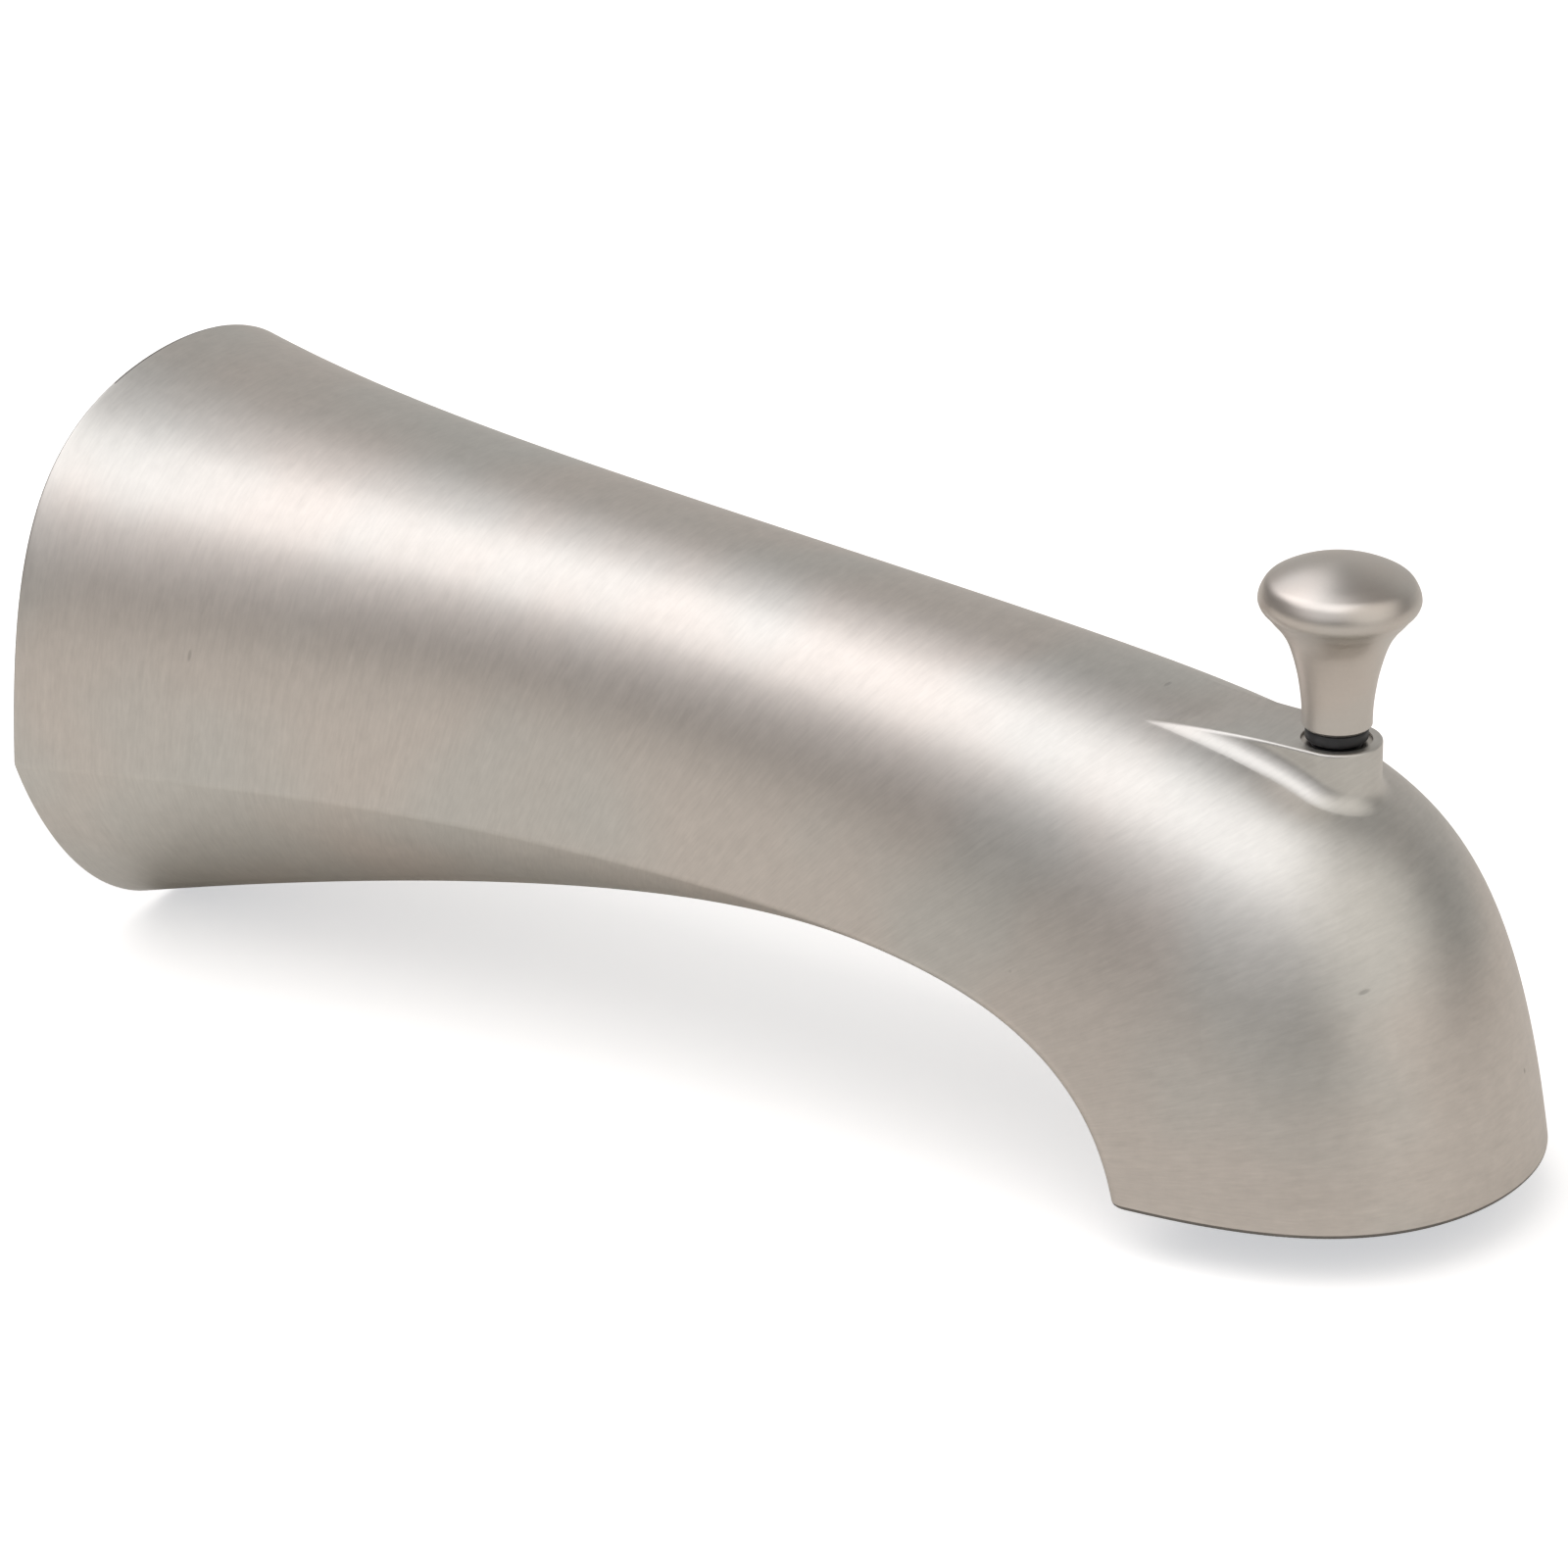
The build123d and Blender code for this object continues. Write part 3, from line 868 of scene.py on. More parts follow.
@dataclass(frozen=True)
class Skin:
    """The law of the skin: sections whose planes turn from upright at the wall to level at the outlet."""

    reach: float = 159.4
    flange_w: float = 57.3
    outlet_w: float = 48.9
    outlet_z: float = -25.4
    top_line: tuple[Point, ...] = (
        (0, 30.1), (0.276, 22.0), (0.4611, 28.1), (0.8394, 13.3), (0.8984, 23.1), (0.9693, 12.6), (1, -25.4),
    )
    under_line: tuple[Point, ...] = (
        (0, -30.1), (0.3237, -15.0), (0.5376, -10.5), (0.7516, -2.4), (0.7949, -25.4),
    )
    crease_share: tuple[float, ...] = (0.903, 0.930, 0.966, 0.982)
    spread_between: tuple[float, ...] = (13.5, 20.6, 23.0)
    crease_rise: tuple[float, ...] = (0.386, 0.324, 0.044, 0.028)
    side_swell: Point = (0.891, 0.931)
    side_lift: Point = (1.097, 0.883)
    crown_share: Point = (0.532, 0.621)
    belly_share: float = 0.72
    belly_drop: float = 0.78
    crease_round: float = 2.0
    crease_least: float = 0.4
    arch_parts: int = 76
    corner_parts: int = 8
    belly_parts: int = 34
    spacing_parts: int = 2001
    way_parts: int = 241

    @property
    def side_spread(self) -> np.ndarray:
        """Half widths along the spout, measured where the side would meet the crease's level."""
        ends = (self.flange_w / 2 / self.crease_share[0], self.outlet_w / 2 / self.crease_share[-1])
        return np.array([ends[0], *self.spread_between, ends[1]])

    def lines(self, t: np.ndarray) -> tuple[np.ndarray, np.ndarray]:
        """The top line and the under line in the plane of symmetry.

        Args:
            t: Places along the spout, 0 at the wall and 1 at the outlet.

        Returns:
            X and Z of both lines, each as an array with a last axis of 2.
        """
        size = np.array([self.reach, 1.0])
        spread = (-1, *[1] * np.ndim(t), 2)
        top, low = (
            bezier(np.array(line).reshape(spread), np.asarray(t)[..., None]) * size
            for line in (self.top_line, self.under_line)
        )
        return top, low

    def station(self, t: np.ndarray, inset: float) -> dict[str, np.ndarray]:
        """Frame and sizes of the section at t, drawn in by inset.

        Args:
            t: Places along the spout.
            inset: How far the section is drawn in.

        Returns:
            The section's base point, up direction, height, crease place and control points.
        """
        t = np.asarray(t, float)
        top, low = self.lines(t)
        gap = top - low
        tall = np.linalg.norm(gap, axis=-1)
        up = gap / tall[..., None]
        tall = tall - 2 * inset
        spread = bezier(self.side_spread, t)
        half = spread - inset
        corner = spread * bezier(np.array(self.crease_share), t) - inset
        rise = bezier(np.array(self.crease_rise), t) * tall
        lift = self.side_lift[0] * (1 - t) + self.side_lift[1] * t
        swell = self.side_swell[0] * (1 - t) + self.side_swell[1] * t
        crown = self.crown_share[0] * (1 - t) + self.crown_share[1] * t
        high = tall - rise
        # The middle controls are set so that the middles of both curves reach the top and under lines.
        peak = (2 ** (ARCH_DEGREE - 1) - ARCH_DEGREE * lift) / math.comb(ARCH_DEGREE, 2)
        arch = [(corner, rise), (swell * half, rise + lift * high), (crown * half, rise + peak * high)]
        arch += [(-v, u) for v, u in arch[::-1]]
        middle = (2**BELLY_DEGREE - 2 * BELLY_DEGREE * self.belly_drop) / math.comb(BELLY_DEGREE, 2)
        belly = [(corner, rise), (self.belly_share * corner, rise * (1 - self.belly_drop)),
                 (0 * corner, rise * (1 - middle))]
        belly += [(-v, u) for v, u in belly[-2::-1]]
        return {
            "base": low + inset * up,
            "up": up,
            "arch": np.array([np.stack(p, -1) for p in arch]),
            "belly": np.array([np.stack(p, -1) for p in belly]),
        }

    def rings(self, t: np.ndarray, inset: float) -> np.ndarray:
        """Points of the skin.

        Args:
            t: Places along the spout, one for each row.
            inset: How far the skin is drawn in.

        Returns:
            Rows of points, closed at the middle of the belly, rows x columns x 3, in millimetres.
        """
        section = self.station(t, inset)
        arch = section["arch"][:, :, None, :]
        belly = section["belly"][:, :, None, :]
        corner = section["arch"][0]
        to_side = section["arch"][1] - corner
        to_belly = section["belly"][1] - corner
        sides = [np.linalg.norm(v, axis=-1) for v in (to_side, to_belly)]
        cos = np.clip(np.sum(to_side * to_belly, -1) / (sides[0] * sides[1]), -1, 1)
        ease = max(self.crease_round - inset, self.crease_least) / np.tan(np.arccos(cos) / 2)
        w_arch = (ease / (ARCH_DEGREE * sides[0]))[:, None]
        w_belly = (ease / (BELLY_DEGREE * sides[1]))[:, None]
        on_arch = w_arch + (0.5 - w_arch) * np.linspace(0, 1, self.arch_parts + 1)[None, :]
        on_belly = w_belly + (0.5 - w_belly) * np.linspace(0, 1, self.belly_parts + 1)[None, :]
        side = bezier(arch, on_arch[..., None])
        under = bezier(belly, on_belly[..., None])
        bend = np.array([under[:, :1], corner[:, None], side[:, :1]])
        ease_t = np.linspace(0, 1, self.corner_parts + 1)[None, 1:-1, None]
        round_off = bezier(bend, ease_t)
        half = np.concatenate([under[:, ::-1], round_off, side], axis=1)
        other = half[:, -2::-1] * np.array([-1.0, 1.0])
        flat = np.concatenate([half, other], axis=1)
        return self.in_space(section, flat)

    @staticmethod
    def in_space(section: Mapping[str, np.ndarray], flat: np.ndarray) -> np.ndarray:
        """Carry points of a section (side, height) into space."""
        base, up = section["base"][:, None, :], section["up"][:, None, :]
        x = base[..., 0] + up[..., 0] * flat[..., 1]
        z = base[..., 1] + up[..., 1] * flat[..., 1]
        return np.stack([x, flat[..., 0], z], -1)

    def spaced(self, count: int) -> np.ndarray:
        """Places along the spout that lie about evenly on its surface."""
        t = np.linspace(0, 1, self.spacing_parts)
        top, low = self.lines(t)
        run = sum(np.linalg.norm(np.diff(line, axis=0), axis=1) for line in (top, low)) / 2
        far = np.concatenate([[0], np.cumsum(run)])
        return np.interp(np.linspace(0, far[-1], count), far, t)

    def crown_height(self, x: np.ndarray, y: np.ndarray) -> np.ndarray:
        """Height of the outer skin above points of the upper side.

        Args:
            x: Places along the spout, in millimetres.
            y: Places across it.

        Returns:
            The heights.
        """
        x, y = np.broadcast_arrays(np.asarray(x, float), np.asarray(y, float))
        low, high = np.zeros(x.shape), np.ones(x.shape)
        for _ in range(HALVINGS):
            t = (low + high) / 2
            spot = self._on_arch(t, y)
            short = spot[..., 0] < x
            low, high = np.where(short, t, low), np.where(short, high, t)
        return self._on_arch((low + high) / 2, y)[..., 1]

    def _on_arch(self, t: np.ndarray, y: np.ndarray) -> np.ndarray:
        """X and Z of the arch of section t at y across."""
        section = self.station(t, 0.0)
        low, high = np.zeros(t.shape), np.ones(t.shape)
        for _ in range(HALVINGS):
            w = (low + high) / 2
            left = bezier(section["arch"][..., 0], w) > y
            low, high = np.where(left, w, low), np.where(left, high, w)
        u = bezier(section["arch"][..., 1], (low + high) / 2)
        return section["base"] + section["up"] * u[..., None]

    def along(self, points: np.ndarray) -> np.ndarray:
        """Coordinates that follow the skin.

        Args:
            points: Points in metres, n x 3.

        Returns:
            For each point its way along the spout, its place across and its height in the section, in metres.
        """
        t = np.linspace(0, 1, self.way_parts)
        top, low = self.lines(t)
        section = self.station(t, 0.0)
        normal = np.stack([section["up"][:, 1], -section["up"][:, 0]], -1)
        middle = (top + low) / 2
        far = np.concatenate([[0], np.cumsum(np.linalg.norm(np.diff(middle, axis=0), axis=1))])
        flat = points[:, [0, 2]] / MM
        beyond = (flat @ normal.T) - np.sum(low * normal, -1)[None, :]
        last = np.clip(np.sum(beyond > 0, axis=1) - 1, 0, len(t) - 2)
        rows = np.arange(len(flat))
        here, there = beyond[rows, last], beyond[rows, last + 1]
        share = np.clip(here / np.where(np.abs(here - there) < 1e-9, 1e-9, here - there), -5, 5)
        way = far[last] + share * (far[last + 1] - far[last])
        height = np.sum((flat - low[last]) * section["up"][last], -1)
        return np.stack([way * MM, points[:, 1], height * MM], -1)


@dataclass
class Casting:
    """The hollow spout, with its boss, pipe socket, ribs, seat wall and chamber floor."""

    skin: Skin = field(default_factory=Skin)
    wall: float = 2.6
    rows: int = 150
    inner_rows: int = 60
    copy_rows: int = 80
    rim_round: float = 0.45
    rim_parts: int = 3
    # How far a rim face must turn away before it is painted dark, as painted shade.
    rim_shade_turn: float = 0.08
    stem_x: float = 138.3
    boss_back_x: float = 119.0
    boss_r: float = 4.5
    boss_top: float = 17.7
    boss_cove: float = 3.0
    boss_edge: float = 0.3
    boss_sink: float = 0.03
    boss_deep: float = 1.8
    flank_parts: int = 33
    front_parts: int = 60
    cove_parts: int = 39
    cove_past: float = 4.0
    bore_r: float = 11.35
    bore_start: float = 5.0
    bore_sides: int = 160
    barrel_sides: int = 128
    barrel_wall: float = 2.5
    barrel_start: float = 30.0
    barrel_end: float = 64.5
    bulkhead: float = 2.5
    rib: float = 2.0
    screw_x: float = 37.0
    screw_r: float = 2.5
    screw_pad_r: float = 5.2
    screw_low: float = -40.0
    bushing_r: float = 3.53
    bushing_low: float = 5.0
    seat_x: float = 143.4
    seat_lip: float = 0.8
    seat_lip_w: float = 1.2
    seat_wall: float = 2.2
    slot_z: float = 2.4
    slot_half: Point = (6.4, 3.5)
    floor_x: float = 108.0
    floor_z: float = -15.4
    floor_t: float = 2.2
    floor_lap: float = 0.5
    past: float = 1.0
    blank: float = 90.0
    smooth_angle: float = 32.0

    def build(self) -> bpy.types.Object:
        """Model the casting.

        Returns:
            The finished object.
        """
        casting = self._shell()
        Bench.combine(casting, self._webs(), Join.UNION)
        Bench.combine(casting, self._boss(), Join.UNION)
        for tool in self._holes():
            Bench.combine(casting, tool, Join.DIFFERENCE)
        Bench.tidy(casting, 0.002)
        self._dress(casting)
        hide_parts("spout_body")
        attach(casting, Body.SPOUT.value)
        return casting

    def _shell(self) -> bpy.types.Object:
        """One grid wrapped out over the outer skin and back over the inner one, with rounded rims."""
        outer = self.skin.rings(self.skin.spaced(self.rows), 0.0)
        inner = self.skin.rings(self.skin.spaced(self.inner_rows), self.wall)
        shell = Bench.wrap("spout_casting", np.concatenate([outer, inner[::-1], outer[:1]]))
        # Edges across the wall are as long as it is thick. Those that run round a rim are shorter.
        across = self.wall * 0.9
        for at_mouth in (self._at_wall, self._at_outlet):
            Bench.select_edges(shell, lambda a, b: at_mouth(a) and at_mouth(b) and (a - b).length < across)
            bpy.ops.mesh.bevel(
                offset=self.rim_round * MM, segments=self.rim_parts, profile=0.5, affect="EDGES"
            )
            bpy.ops.object.mode_set(mode="OBJECT")
        return shell

    def _at_wall(self, spot: Vector) -> bool:
        """Whether a point lies in the plane of the wall."""
        return abs(spot.x) < IN_PLANE

    def _at_outlet(self, spot: Vector) -> bool:
        """Whether a point lies in the plane of the outlet."""
        return abs(spot.z - self.skin.outlet_z) < IN_PLANE and spot.x > self.skin.reach / 2

    def _at_rim(self, spot: Vector) -> bool:
        """Whether a point lies on one of the two rounded rims."""
        low = self.skin.outlet_z + self.rim_round
        return spot.x < self.rim_round or (spot.z < low and spot.x > self.skin.reach / 2)

    def _turns_away(self, face: bpy.types.MeshPolygon) -> bool:
        """Whether a face of a rim looks towards the wall, or down at the outlet."""
        turn = face.normal.z if face.center.x > self.skin.reach / 2 * MM else face.normal.x
        return turn < -self.rim_shade_turn

    def _webs(self) -> bpy.types.Object:
        """Everything that is cast across the inside, trimmed to the middle of the wall."""
        wide = self.blank / 2
        start, end = self.barrel_start, self.barrel_end
        seat_back = self.seat_x + self.seat_lip + self.seat_wall
        barrel_r = self.bore_r + self.barrel_wall
        webs = Bench.rod("webs", barrel_r, Vector((start, 0, 0)), Vector((end, 0, 0)), self.barrel_sides)
        parts = [
            Bench.box("bulkhead", (end - self.bulkhead, -wide, -wide), (end, wide, wide)),
            Bench.box("side_rib", (start, -wide, -self.rib / 2), (end, wide, self.rib / 2)),
            Bench.box("top_rib", (start, -self.rib / 2, 0), (end, self.rib / 2, wide)),
            Bench.rod("pad", self.screw_pad_r, Vector((self.screw_x, 0, -wide)),
                      Vector((self.screw_x, 0, -self.bore_r)), SMALL_SIDES),
            Bench.box("seat_wall", (seat_back - self.seat_wall, -wide, self.floor_z - self.floor_t),
                      (seat_back, wide, wide)),
            Bench.box("floor", (self.floor_x, -wide, self.floor_z - self.floor_t),
                      (seat_back - self.floor_lap, wide, self.floor_z)),
        ]
        for part in parts:
            Bench.combine(webs, part, Join.UNION)
        middle = self.skin.rings(self.skin.spaced(self.inner_rows), self.wall / 2)
        Bench.combine(webs, Bench.wrap("mid_form", middle, True), Join.INTERSECT)
        lip = Bench.slot_plate("lip", self.seat_x, self.seat_lip + self.seat_wall / 2, self.slot_z,
                               self.slot_half[0] + self.seat_lip_w, self.slot_half[1] + self.seat_lip_w)
        Bench.combine(webs, lip, Join.UNION)
        return webs

    def _holes(self) -> list[bpy.types.Object]:
        """The socket's bore, the valve slot and the holes for screw and bushing."""
        past = self.past
        slot_deep = self.seat_lip + self.seat_wall + 2 * past
        return [
            Bench.rod("bore", self.bore_r, Vector((self.bore_start, 0, 0)),
                      Vector((self.barrel_end + past, 0, 0)), self.bore_sides),
            Bench.slot_plate("valve_slot", self.seat_x - past, slot_deep, self.slot_z, *self.slot_half),
            Bench.rod("screw_hole", self.screw_r, Vector((self.screw_x, 0, self.screw_low)),
                      Vector((self.screw_x, 0, 0)), SMALL_SIDES),
            Bench.rod("bushing_hole", self.bushing_r, Vector((self.stem_x, 0, self.bushing_low)),
                      Vector((self.stem_x, 0, self.boss_top + past))),
        ]

    def _boss(self) -> bpy.types.Object:
        """The flat-topped boss: a round-ended upright wall with a hollow blend at its foot."""
        flank = np.linspace(self.boss_back_x, self.stem_x, self.flank_parts + 1)
        front = np.linspace(-90, 90, self.front_parts + 1)
        path = np.array(
            [(x, -90.0) for x in flank[:-1]] + [(self.stem_x, turn) for turn in front]
            + [(x, 90.0) for x in flank[-2::-1]]
        )
        turns = np.radians(path[:, 1:])
        r = self.boss_r + np.arange(-1.0, 7.0, 0.1)
        skin = self.skin.crown_height(path[:, :1] + r * np.cos(turns), r * np.sin(turns))
        spine = self.skin.crown_height(path[:, 0], 0.0)
        rows = []
        for (x, turn), z, middle in zip(path, skin, spine):
            flat = self._boss_outline(r, z, float(middle))
            dx, dy = math.cos(math.radians(turn)), math.sin(math.radians(turn))
            rows.append(np.stack([x + flat[:, 0] * dx, flat[:, 0] * dy, flat[:, 1]], -1))
        return Bench.wrap("boss", np.array(rows), True)

    def _boss_outline(self, r: np.ndarray, z: np.ndarray, middle: float) -> np.ndarray:
        """Outline of the boss from its middle line outwards, in an upright plane.

        Args:
            r: Distances from the middle line.
            z: Heights of the skin there.
            middle: Height of the skin on the middle line.

        Returns:
            Distances and heights of the outline's points, in millimetres.
        """
        slope = np.gradient(z, r)
        size = np.hypot(slope, 1)
        cove = self.boss_cove
        off_r, off_z = r - cove * slope / size, z + cove / size
        centre_r = self.boss_r + cove
        centre_z = float(np.interp(centre_r, off_r, off_z)) - self.boss_sink
        lean = float(np.interp(centre_r, off_r, slope))
        foot = math.degrees(math.atan2(-1, lean)) % 360 + self.cove_past
        drop = min(max((centre_z - self.boss_top) / cove, 0.0), 0.999)
        first = min(180 + math.degrees(math.asin(drop)), foot - 1)
        angles = np.radians(np.linspace(first, foot, self.cove_parts + 1))
        side = np.stack([centre_r + cove * np.cos(angles), centre_z + cove * np.sin(angles)], -1)
        if centre_z < self.boss_top:
            side = np.concatenate([[[self.boss_r, self.boss_top]], side])
        run = np.concatenate([[0], np.cumsum(np.linalg.norm(np.diff(side, axis=0), axis=1))])
        edge = min(self.boss_edge, run[-1] / 2)
        upright = max(self.boss_top - centre_z, edge * 1.01)
        marks = np.concatenate([np.linspace(edge, upright, 3)[:-1], np.linspace(upright, run[-1], 16)])
        down = np.stack([np.interp(marks, run, side[:, 0]), np.interp(marks, run, side[:, 1])], -1)
        crest = side[0]
        eased = bezier(np.array([crest - [edge, 0], crest, down[0]]), np.linspace(0, 1, 5)[:-1, None])
        at_wall = float(np.interp(self.boss_r, r, z))
        under = [(self.boss_r, at_wall - self.boss_deep), (0.0, middle - self.boss_deep)]
        return np.concatenate([[(0.0, crest[1])], eased, down, under])

    def _dress(self, casting: bpy.types.Object) -> None:
        """Store the coordinates that follow the skin, give outside and inside their finishes, and paint the
        rim faces that turn away dark, as painted shade.
        """
        mesh = casting.data
        spots = np.empty(len(mesh.vertices) * 3)
        mesh.vertices.foreach_get("co", spots)
        spots = spots.reshape(-1, 3)
        for spare in [a.name for a in mesh.attributes if a.name in ("along", "UVMap")]:
            mesh.attributes.remove(mesh.attributes[spare])
        stored = mesh.attributes.new("along", "FLOAT_VECTOR", "POINT")
        stored.data.foreach_set("vector", self.skin.along(spots).ravel())
        outer = Bench.wrap("outer_copy", self.skin.rings(self.skin.spaced(self.copy_rows), 0.0))
        faces = [p.vertices for p in outer.data.polygons]
        tree = BVHTree.FromPolygons([v.co for v in outer.data.vertices], faces)
        bpy.data.objects.remove(outer, do_unlink=True)
        mesh.materials.clear()
        for finish in (SatinNickel(), CastSkin(), ShadedRim()):
            mesh.materials.append(finish.material())
        brushed, cast, dark_rim = range(3)
        limit = self.wall / 2 * MM
        for face in mesh.polygons:
            near, normal, _, _ = tree.find_nearest(face.center)
            depth = -(face.center - near).dot(normal)
            # Rim faces that look towards the wall or down at the outlet get the dark rim colour: painted
            # shade along the rims.
            if self._at_rim(face.center / MM):
                face.material_index = dark_rim if self._turns_away(face) else brushed
            else:
                face.material_index = brushed if depth < limit else cast
        Bench.smooth(casting, self.smooth_angle, weigh=True)


@dataclass
class Knob:
    """The turned knob. The neck, cap and ridge are given as shares of the radius and of the height."""

    stem_x: float = 138.3
    low_z: float = 19.05
    tall: float = 16.45
    radius: float = 7.96
    low_r: float = 3.45
    chamfer: float = 0.3
    hole_r: float = 1.62
    hole: float = 7.95
    ridge_round: float = 0.6
    neck: tuple[Point, ...] = (
        (0.442, 0.143), (0.470, 0.252), (0.505, 0.3435), (0.573, 0.465), (0.641, 0.550), (0.736, 0.623),
        (0.824, 0.672),
    )
    neck_leaves: Point = (0.0, 1.0)
    neck_arrives: Point = (1.0, 0.9)
    turn: Point = (0.932, 0.7325)
    wide: Point = (1.0, 0.8175)
    shoulder: Point = (0.996, 0.833)
    ridge: Point = (0.91, 0.915)
    dome_r: float = 13.2
    dome_middle: float = 0.25
    sides: int = 144
    smooth_angle: float = 30.0

    def build(self) -> bpy.types.Object:
        """Model the knob.

        Returns:
            The finished object.
        """
        knob = Bench.turned("knob_turned", self._outline(), self.stem_x, self.sides)
        Bench.smooth(knob, self.smooth_angle)
        knob.data.materials.clear()
        knob.data.materials.append(TurnedNickel().material())
        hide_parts("diverter_knob")
        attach(knob, Body.DIVERTER.value)
        return knob

    def _at(self, spot: Point) -> Point:
        """Turn shares of the radius and height into millimetres."""
        return (spot[0] * self.radius, self.low_z + spot[1] * self.tall)

    def _outline(self) -> list[Point]:
        """Closed outline, from the hole's top round the low edge, up the neck and over the cap."""
        low = self.low_z
        hole_top = low + self.hole
        start = (self.low_r, low + 2 * self.chamfer)
        turn, wide, shoulder, ridge = (self._at(p) for p in (self.turn, self.wide, self.shoulder, self.ridge))
        centre = ridge[1] - math.sqrt(self.dome_r**2 - ridge[0] ** 2)
        dome = (self.dome_r * self.dome_middle, centre + self.dome_r * math.sqrt(1 - self.dome_middle**2))
        stops = [start, *[self._at(p) for p in self.neck], turn]
        neck = smooth_through(stops, self.neck_leaves, self.neck_arrives, 7)
        cap = [*arc_through(turn, wide, shoulder, 10), ridge]
        crest = arc_through(ridge, dome, (0.0, centre + self.dome_r), 22)
        over = round_corner(cap + crest[1:], len(cap) - 1, self.ridge_round, 8)
        over = round_corner(over, len(cap) - 2, self.ridge_round, 4)
        foot = [(0.0, hole_top), (self.hole_r, hole_top), (self.hole_r, low),
                (self.low_r - self.chamfer, low), (self.low_r, low + self.chamfer)]
        return foot + neck + over


@dataclass
class SeatRing:
    """The black ring that the knob comes down on."""

    stem_x: float = 138.3
    low_z: float = 17.7
    thick: float = 1.25
    outer_r: float = 3.1
    inner_r: float = 1.95
    edge: float = 0.34
    edge_parts: int = 4
    sides: int = 96
    smooth_angle: float = 40.0

    def build(self) -> bpy.types.Object:
        """Model the ring.

        Returns:
            The finished object.
        """
        half_w, half_h = (self.outer_r - self.inner_r) / 2, self.thick / 2
        middle_r, middle_z = (self.outer_r + self.inner_r) / 2, self.low_z + half_h
        outline = []
        for corner, (sx, sz) in enumerate([(1, 1), (-1, 1), (-1, -1), (1, -1)]):
            for k in range(self.edge_parts + 1):
                angle = math.radians(90 * corner + 90 * k / self.edge_parts)
                outline.append((middle_r + sx * (half_w - self.edge) + self.edge * math.cos(angle),
                                middle_z + sz * (half_h - self.edge) + self.edge * math.sin(angle)))
        ring = Bench.turned("ring_moulded", outline, self.stem_x, self.sides)
        Bench.smooth(ring, self.smooth_angle)
        ring.data.materials.clear()
        ring.data.materials.append(BlackRubber().material())
        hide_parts("knob_seat_ring")
        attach(ring, Body.SPOUT.value)
        return ring


@dataclass
class Fittings:
    """The pieces whose solids show as they are, each with its finish."""

    sleeve: Finish = Machined()
    bushing: Finish = Machined(
        "plated_bushing", colour=(0.52, 0.49, 0.45), dull=(0.38, 0.36, 0.33), lines=(90, 90, 4200), rough=0.30
    )
    screw: Finish = Machined(
        "screw_steel", colour=(0.46, 0.46, 0.47), dull=(0.25, 0.24, 0.23), lines=(140, 140, 3000), rough=0.36
    )
    stem: Finish = Machined(
        "stem_steel", colour=(0.60, 0.60, 0.60), dull=(0.45, 0.44, 0.42), lines=(140, 140, 4800), rough=0.24
    )
    seal: Finish = BlackRubber("seal_rubber", rough=0.36)
    washer: Finish = BlackRubber("washer_rubber", bloom=(0.06, 0.06, 0.06), rough=0.55)
    gate: Finish = WhiteAcetal()

    def finishes(self) -> dict[str, Finish]:
        """The finish of each node."""
        seals = ("pipe_seal_rear", "pipe_seal_front", "adapter_seal", "stem_seal")
        return {
            "pipe_adapter": self.sleeve,
            "stem_bushing": self.bushing,
            "set_screw": self.screw,
            "diverter_stem": self.stem,
            **dict.fromkeys(seals, self.seal),
            "gate_washer": self.washer,
            "diverter_gate": self.gate,
        }

    def dress(self) -> None:
        """Give each piece its finish."""
        for node, finish in self.finishes().items():
            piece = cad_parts[node]
            if not piece.material_slots:
                piece.data.materials.append(finish.material())
            for place in piece.material_slots:
                place.material = finish.material()
            LOG.info("dressed %s in %s", node, finish.name)


# Studio


@dataclass
class Softbox:
    """One rectangular lamp that points at a place."""

    name: str
    place: Triple
    aim: Triple
    size: Point
    power: float
    colour: Colour

    def build(self) -> None:
        """Add the lamp."""
        data = bpy.data.lights.new(self.name, "AREA")
        data.shape = "RECTANGLE"
        data.size, data.size_y = self.size
        data.energy = self.power
        data.color = self.colour
        lamp = bpy.data.objects.new(self.name, data)
        lamp.location = self.place
        way = Vector(self.aim) - Vector(self.place)
        lamp.rotation_euler = way.to_track_quat("-Z", "Y").to_euler()
        bpy.context.scene.collection.objects.link(lamp)


@dataclass(frozen=True)
class Glow:
    """A soft patch of light in the surroundings."""

    toward: Triple
    strength: float
    edge: float
    core: float
    colour: Colour

    def light(self, graph: Graph, way: Value) -> Value:
        """Its light by direction.

        Args:
            graph: The world's graph.
            way: The direction looked in.

        Returns:
            The coloured light of the patch.
        """
        toward = tuple(Vector(self.toward).normalized())
        sockets = {0: way, 1: toward}
        near = graph.node("ShaderNodeVectorMath", {"operation": "DOT_PRODUCT"}, sockets).out("Value")
        return graph.tint(self.colour, near.ramp(self.edge, self.core) * self.strength)


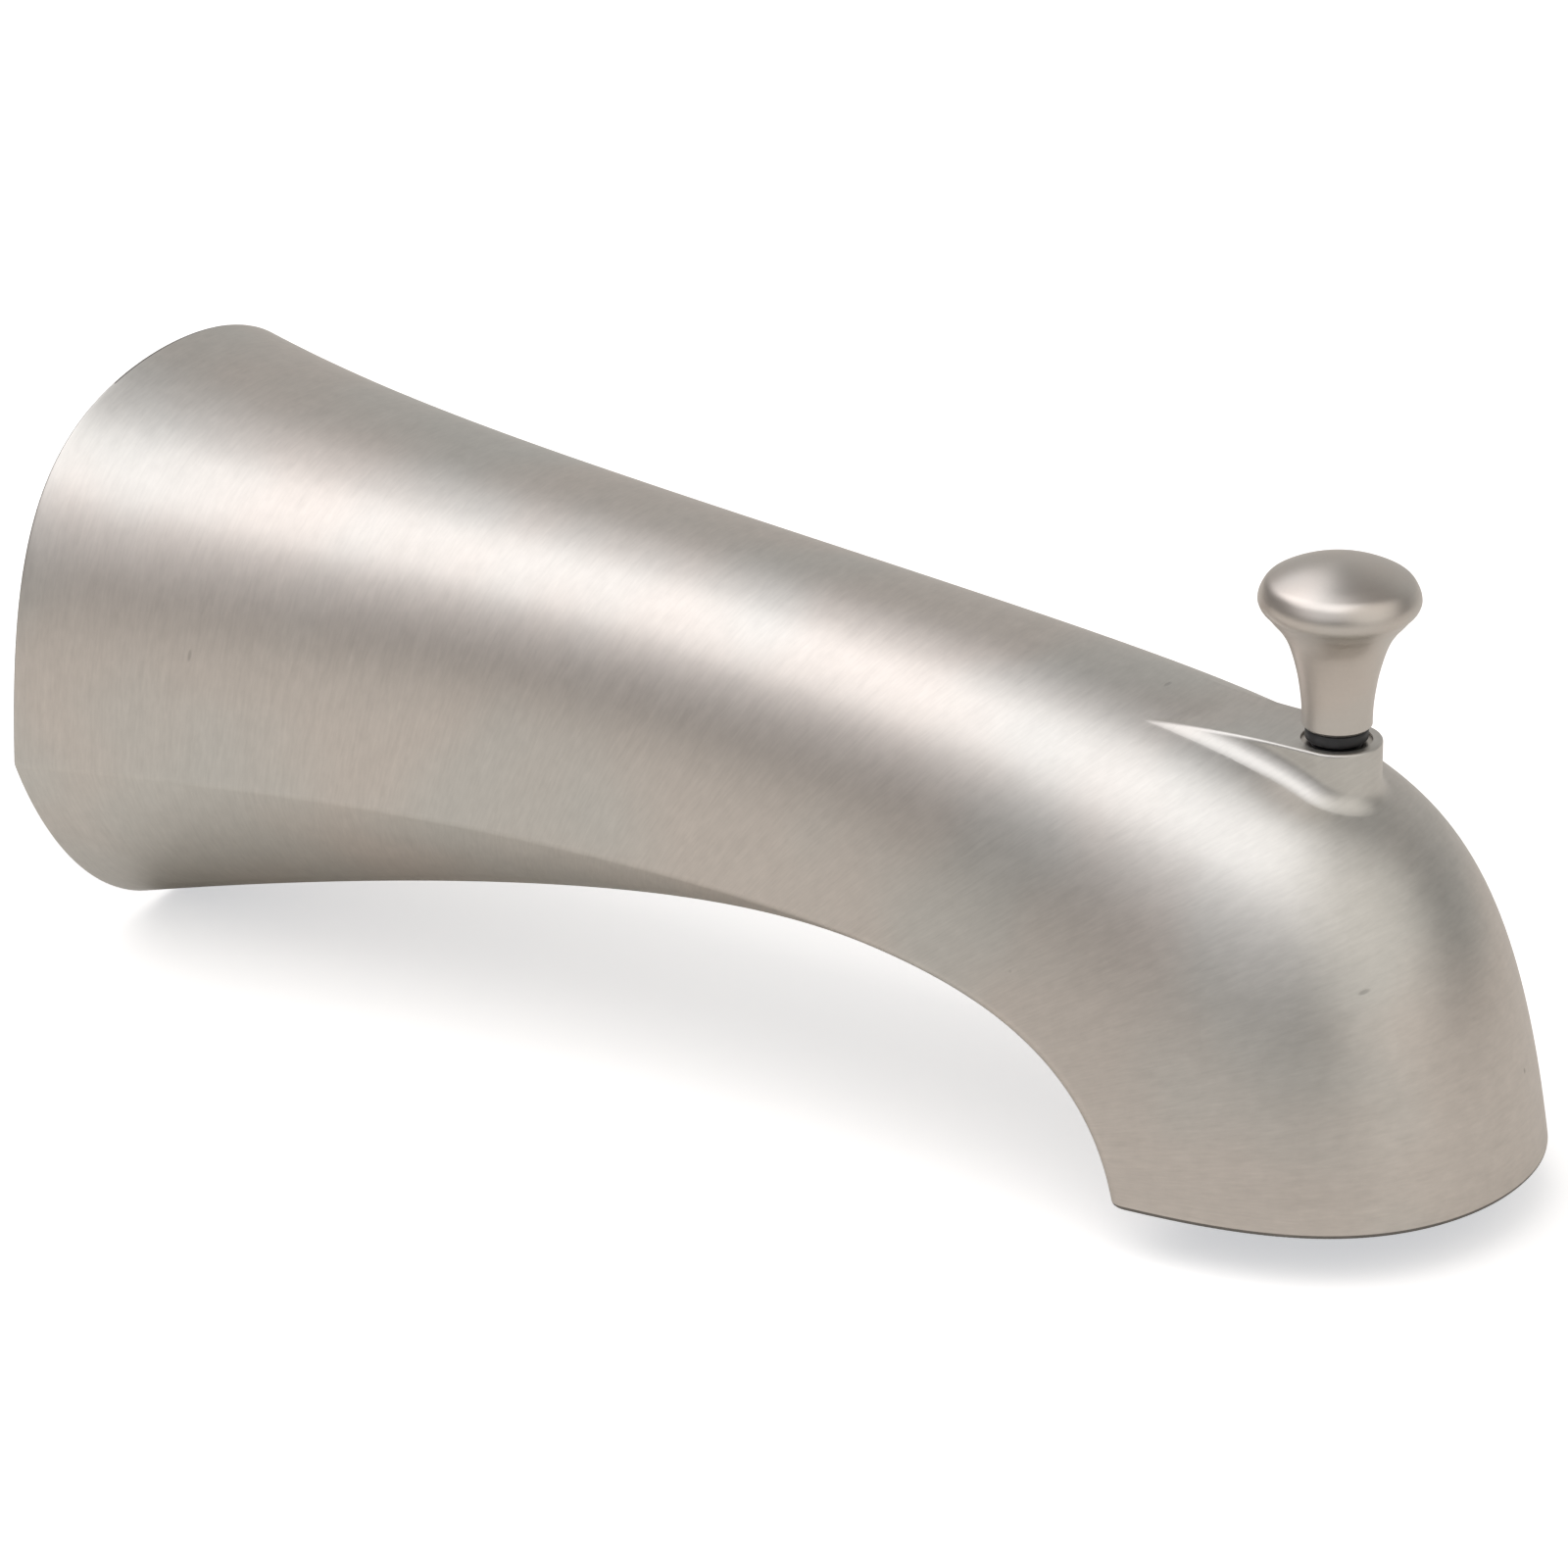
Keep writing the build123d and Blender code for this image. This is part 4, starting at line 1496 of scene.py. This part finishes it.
@dataclass
class Studio:
    """Camera, lamps, world and floor."""

    azimuth: float = 32.6215
    elevation: float = 22.7366
    distance: float = 1.0320275
    target: Triple = (0.0734457, 0.0, 0.0096455)
    focal: float = 237.056
    sensor: float = 36.0
    shift: Point = (0.0084, -0.0698)
    sight: float = 50.0
    floor_gap: float = 0.0005
    floor_size: float = 8.0
    floor_colour: Colour = (0.815, 0.79, 0.745)
    floor_lift: Colour = (0.53, 0.54, 0.56)
    room: float = 0.20
    room_colour: Colour = (1.0, 0.97, 0.935)
    glows: tuple[Glow, ...] = (
        Glow((-0.05, -0.64, 0.77), 0.73, 0.67, 0.97, (0.98, 0.965, 1.0)),
        Glow((0.82, -0.10, 0.56), 0.77, 0.60, 1.0, (1.0, 0.96, 0.91)),
        Glow((-0.64, 0.15, 0.75), 1.03, 0.85, 0.96, (0.98, 0.965, 1.0)),
        Glow((-0.24, 0.96, 0.09), 0.36, 0.44, 1.0, (1.0, 0.98, 0.95)),
    )
    lamp: Softbox = field(
        default_factory=lambda: Softbox(
            "overhead", (-0.25, -0.38, 0.90), (-0.25, -0.38, 0.0), (1.50, 0.98), 4.0, (0.965, 0.97, 1.0)
        )
    )

    def camera(self) -> None:
        """Place the camera at the photograph's viewing angle."""
        a, e = math.radians(self.azimuth), math.radians(self.elevation)
        back = Vector((math.sin(a) * math.cos(e), -math.cos(a) * math.cos(e), math.sin(e)))
        right = Vector((math.cos(a), math.sin(a), 0))
        up = back.cross(right)
        data = bpy.data.cameras.new("camera")
        data.lens = self.focal
        data.sensor_width = self.sensor
        data.shift_x, data.shift_y = self.shift
        data.clip_end = self.sight
        camera = bpy.data.objects.new("camera", data)
        turn = Matrix((right, up, back)).transposed().to_4x4()
        camera.matrix_world = Matrix.Translation(Vector(self.target) + back * self.distance) @ turn
        bpy.context.scene.collection.objects.link(camera)
        bpy.context.scene.camera = camera

    def floor(self) -> None:
        """Lay the floor just under the lowest rim."""
        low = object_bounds()[0]
        Bench.clear()
        bpy.ops.mesh.primitive_plane_add(size=self.floor_size, location=(0, 0, low[2] - self.floor_gap))
        floor = Bench.named("floor")
        paper = bpy.data.materials.new("paper")
        paper.use_nodes = True
        graph = Graph(paper.node_tree)
        grain = graph.noise(graph.place(), 900.0, 3.0, 0.6)
        colour = graph.tint(self.floor_colour, 0.99 + grain * 0.01)
        rays = graph.node("ShaderNodeLightPath")
        lift = graph.tint(self.floor_lift, rays.out("Is Camera Ray") + rays.out("Is Transmission Ray"))
        graph.surface(
            {"Base Color": colour, "Roughness": 0.9, "Normal": graph.bump(grain, 0.00002, 0.3),
             "Specular IOR Level": 0.0, "Emission Color": lift, "Emission Strength": 1.0}
        )
        floor.data.materials.append(paper)
        floor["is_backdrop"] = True

    def world(self) -> None:
        """Fill the room with soft grey light and its glows."""
        world = bpy.data.worlds.new("studio")
        bpy.context.scene.world = world
        world.use_nodes = True
        graph = Graph(world.node_tree)
        way = graph.node("ShaderNodeTexCoord").out("Generated")
        light = graph.tint(self.room_colour, self.room)
        for glow in self.glows:
            light = graph.together(light, glow.light(graph, way))
        shader = graph.node("ShaderNodeBackground", {}, {"Color": light, "Strength": 1.0})
        graph.node("ShaderNodeOutputWorld", {}, {"Surface": shader.out(0)})

    def build(self) -> None:
        """Lay the floor, fill the room and hang the lamp."""
        self.floor()
        self.world()
        self.lamp.build()
        bpy.context.scene.view_settings.view_transform = "Standard"


def main() -> None:
    """Build and dress the spout, then the studio."""
    logging.basicConfig(level=logging.INFO, format="%(name)s: %(message)s")
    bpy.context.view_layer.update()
    studio = Studio()
    studio.camera()
    for piece in (Casting().build(), Knob().build(), SeatRing().build()):
        LOG.info("built %s with %d faces", piece.name, len(piece.data.polygons))
    Fittings().dress()
    studio.build()


if __name__ == "__main__":
    main()
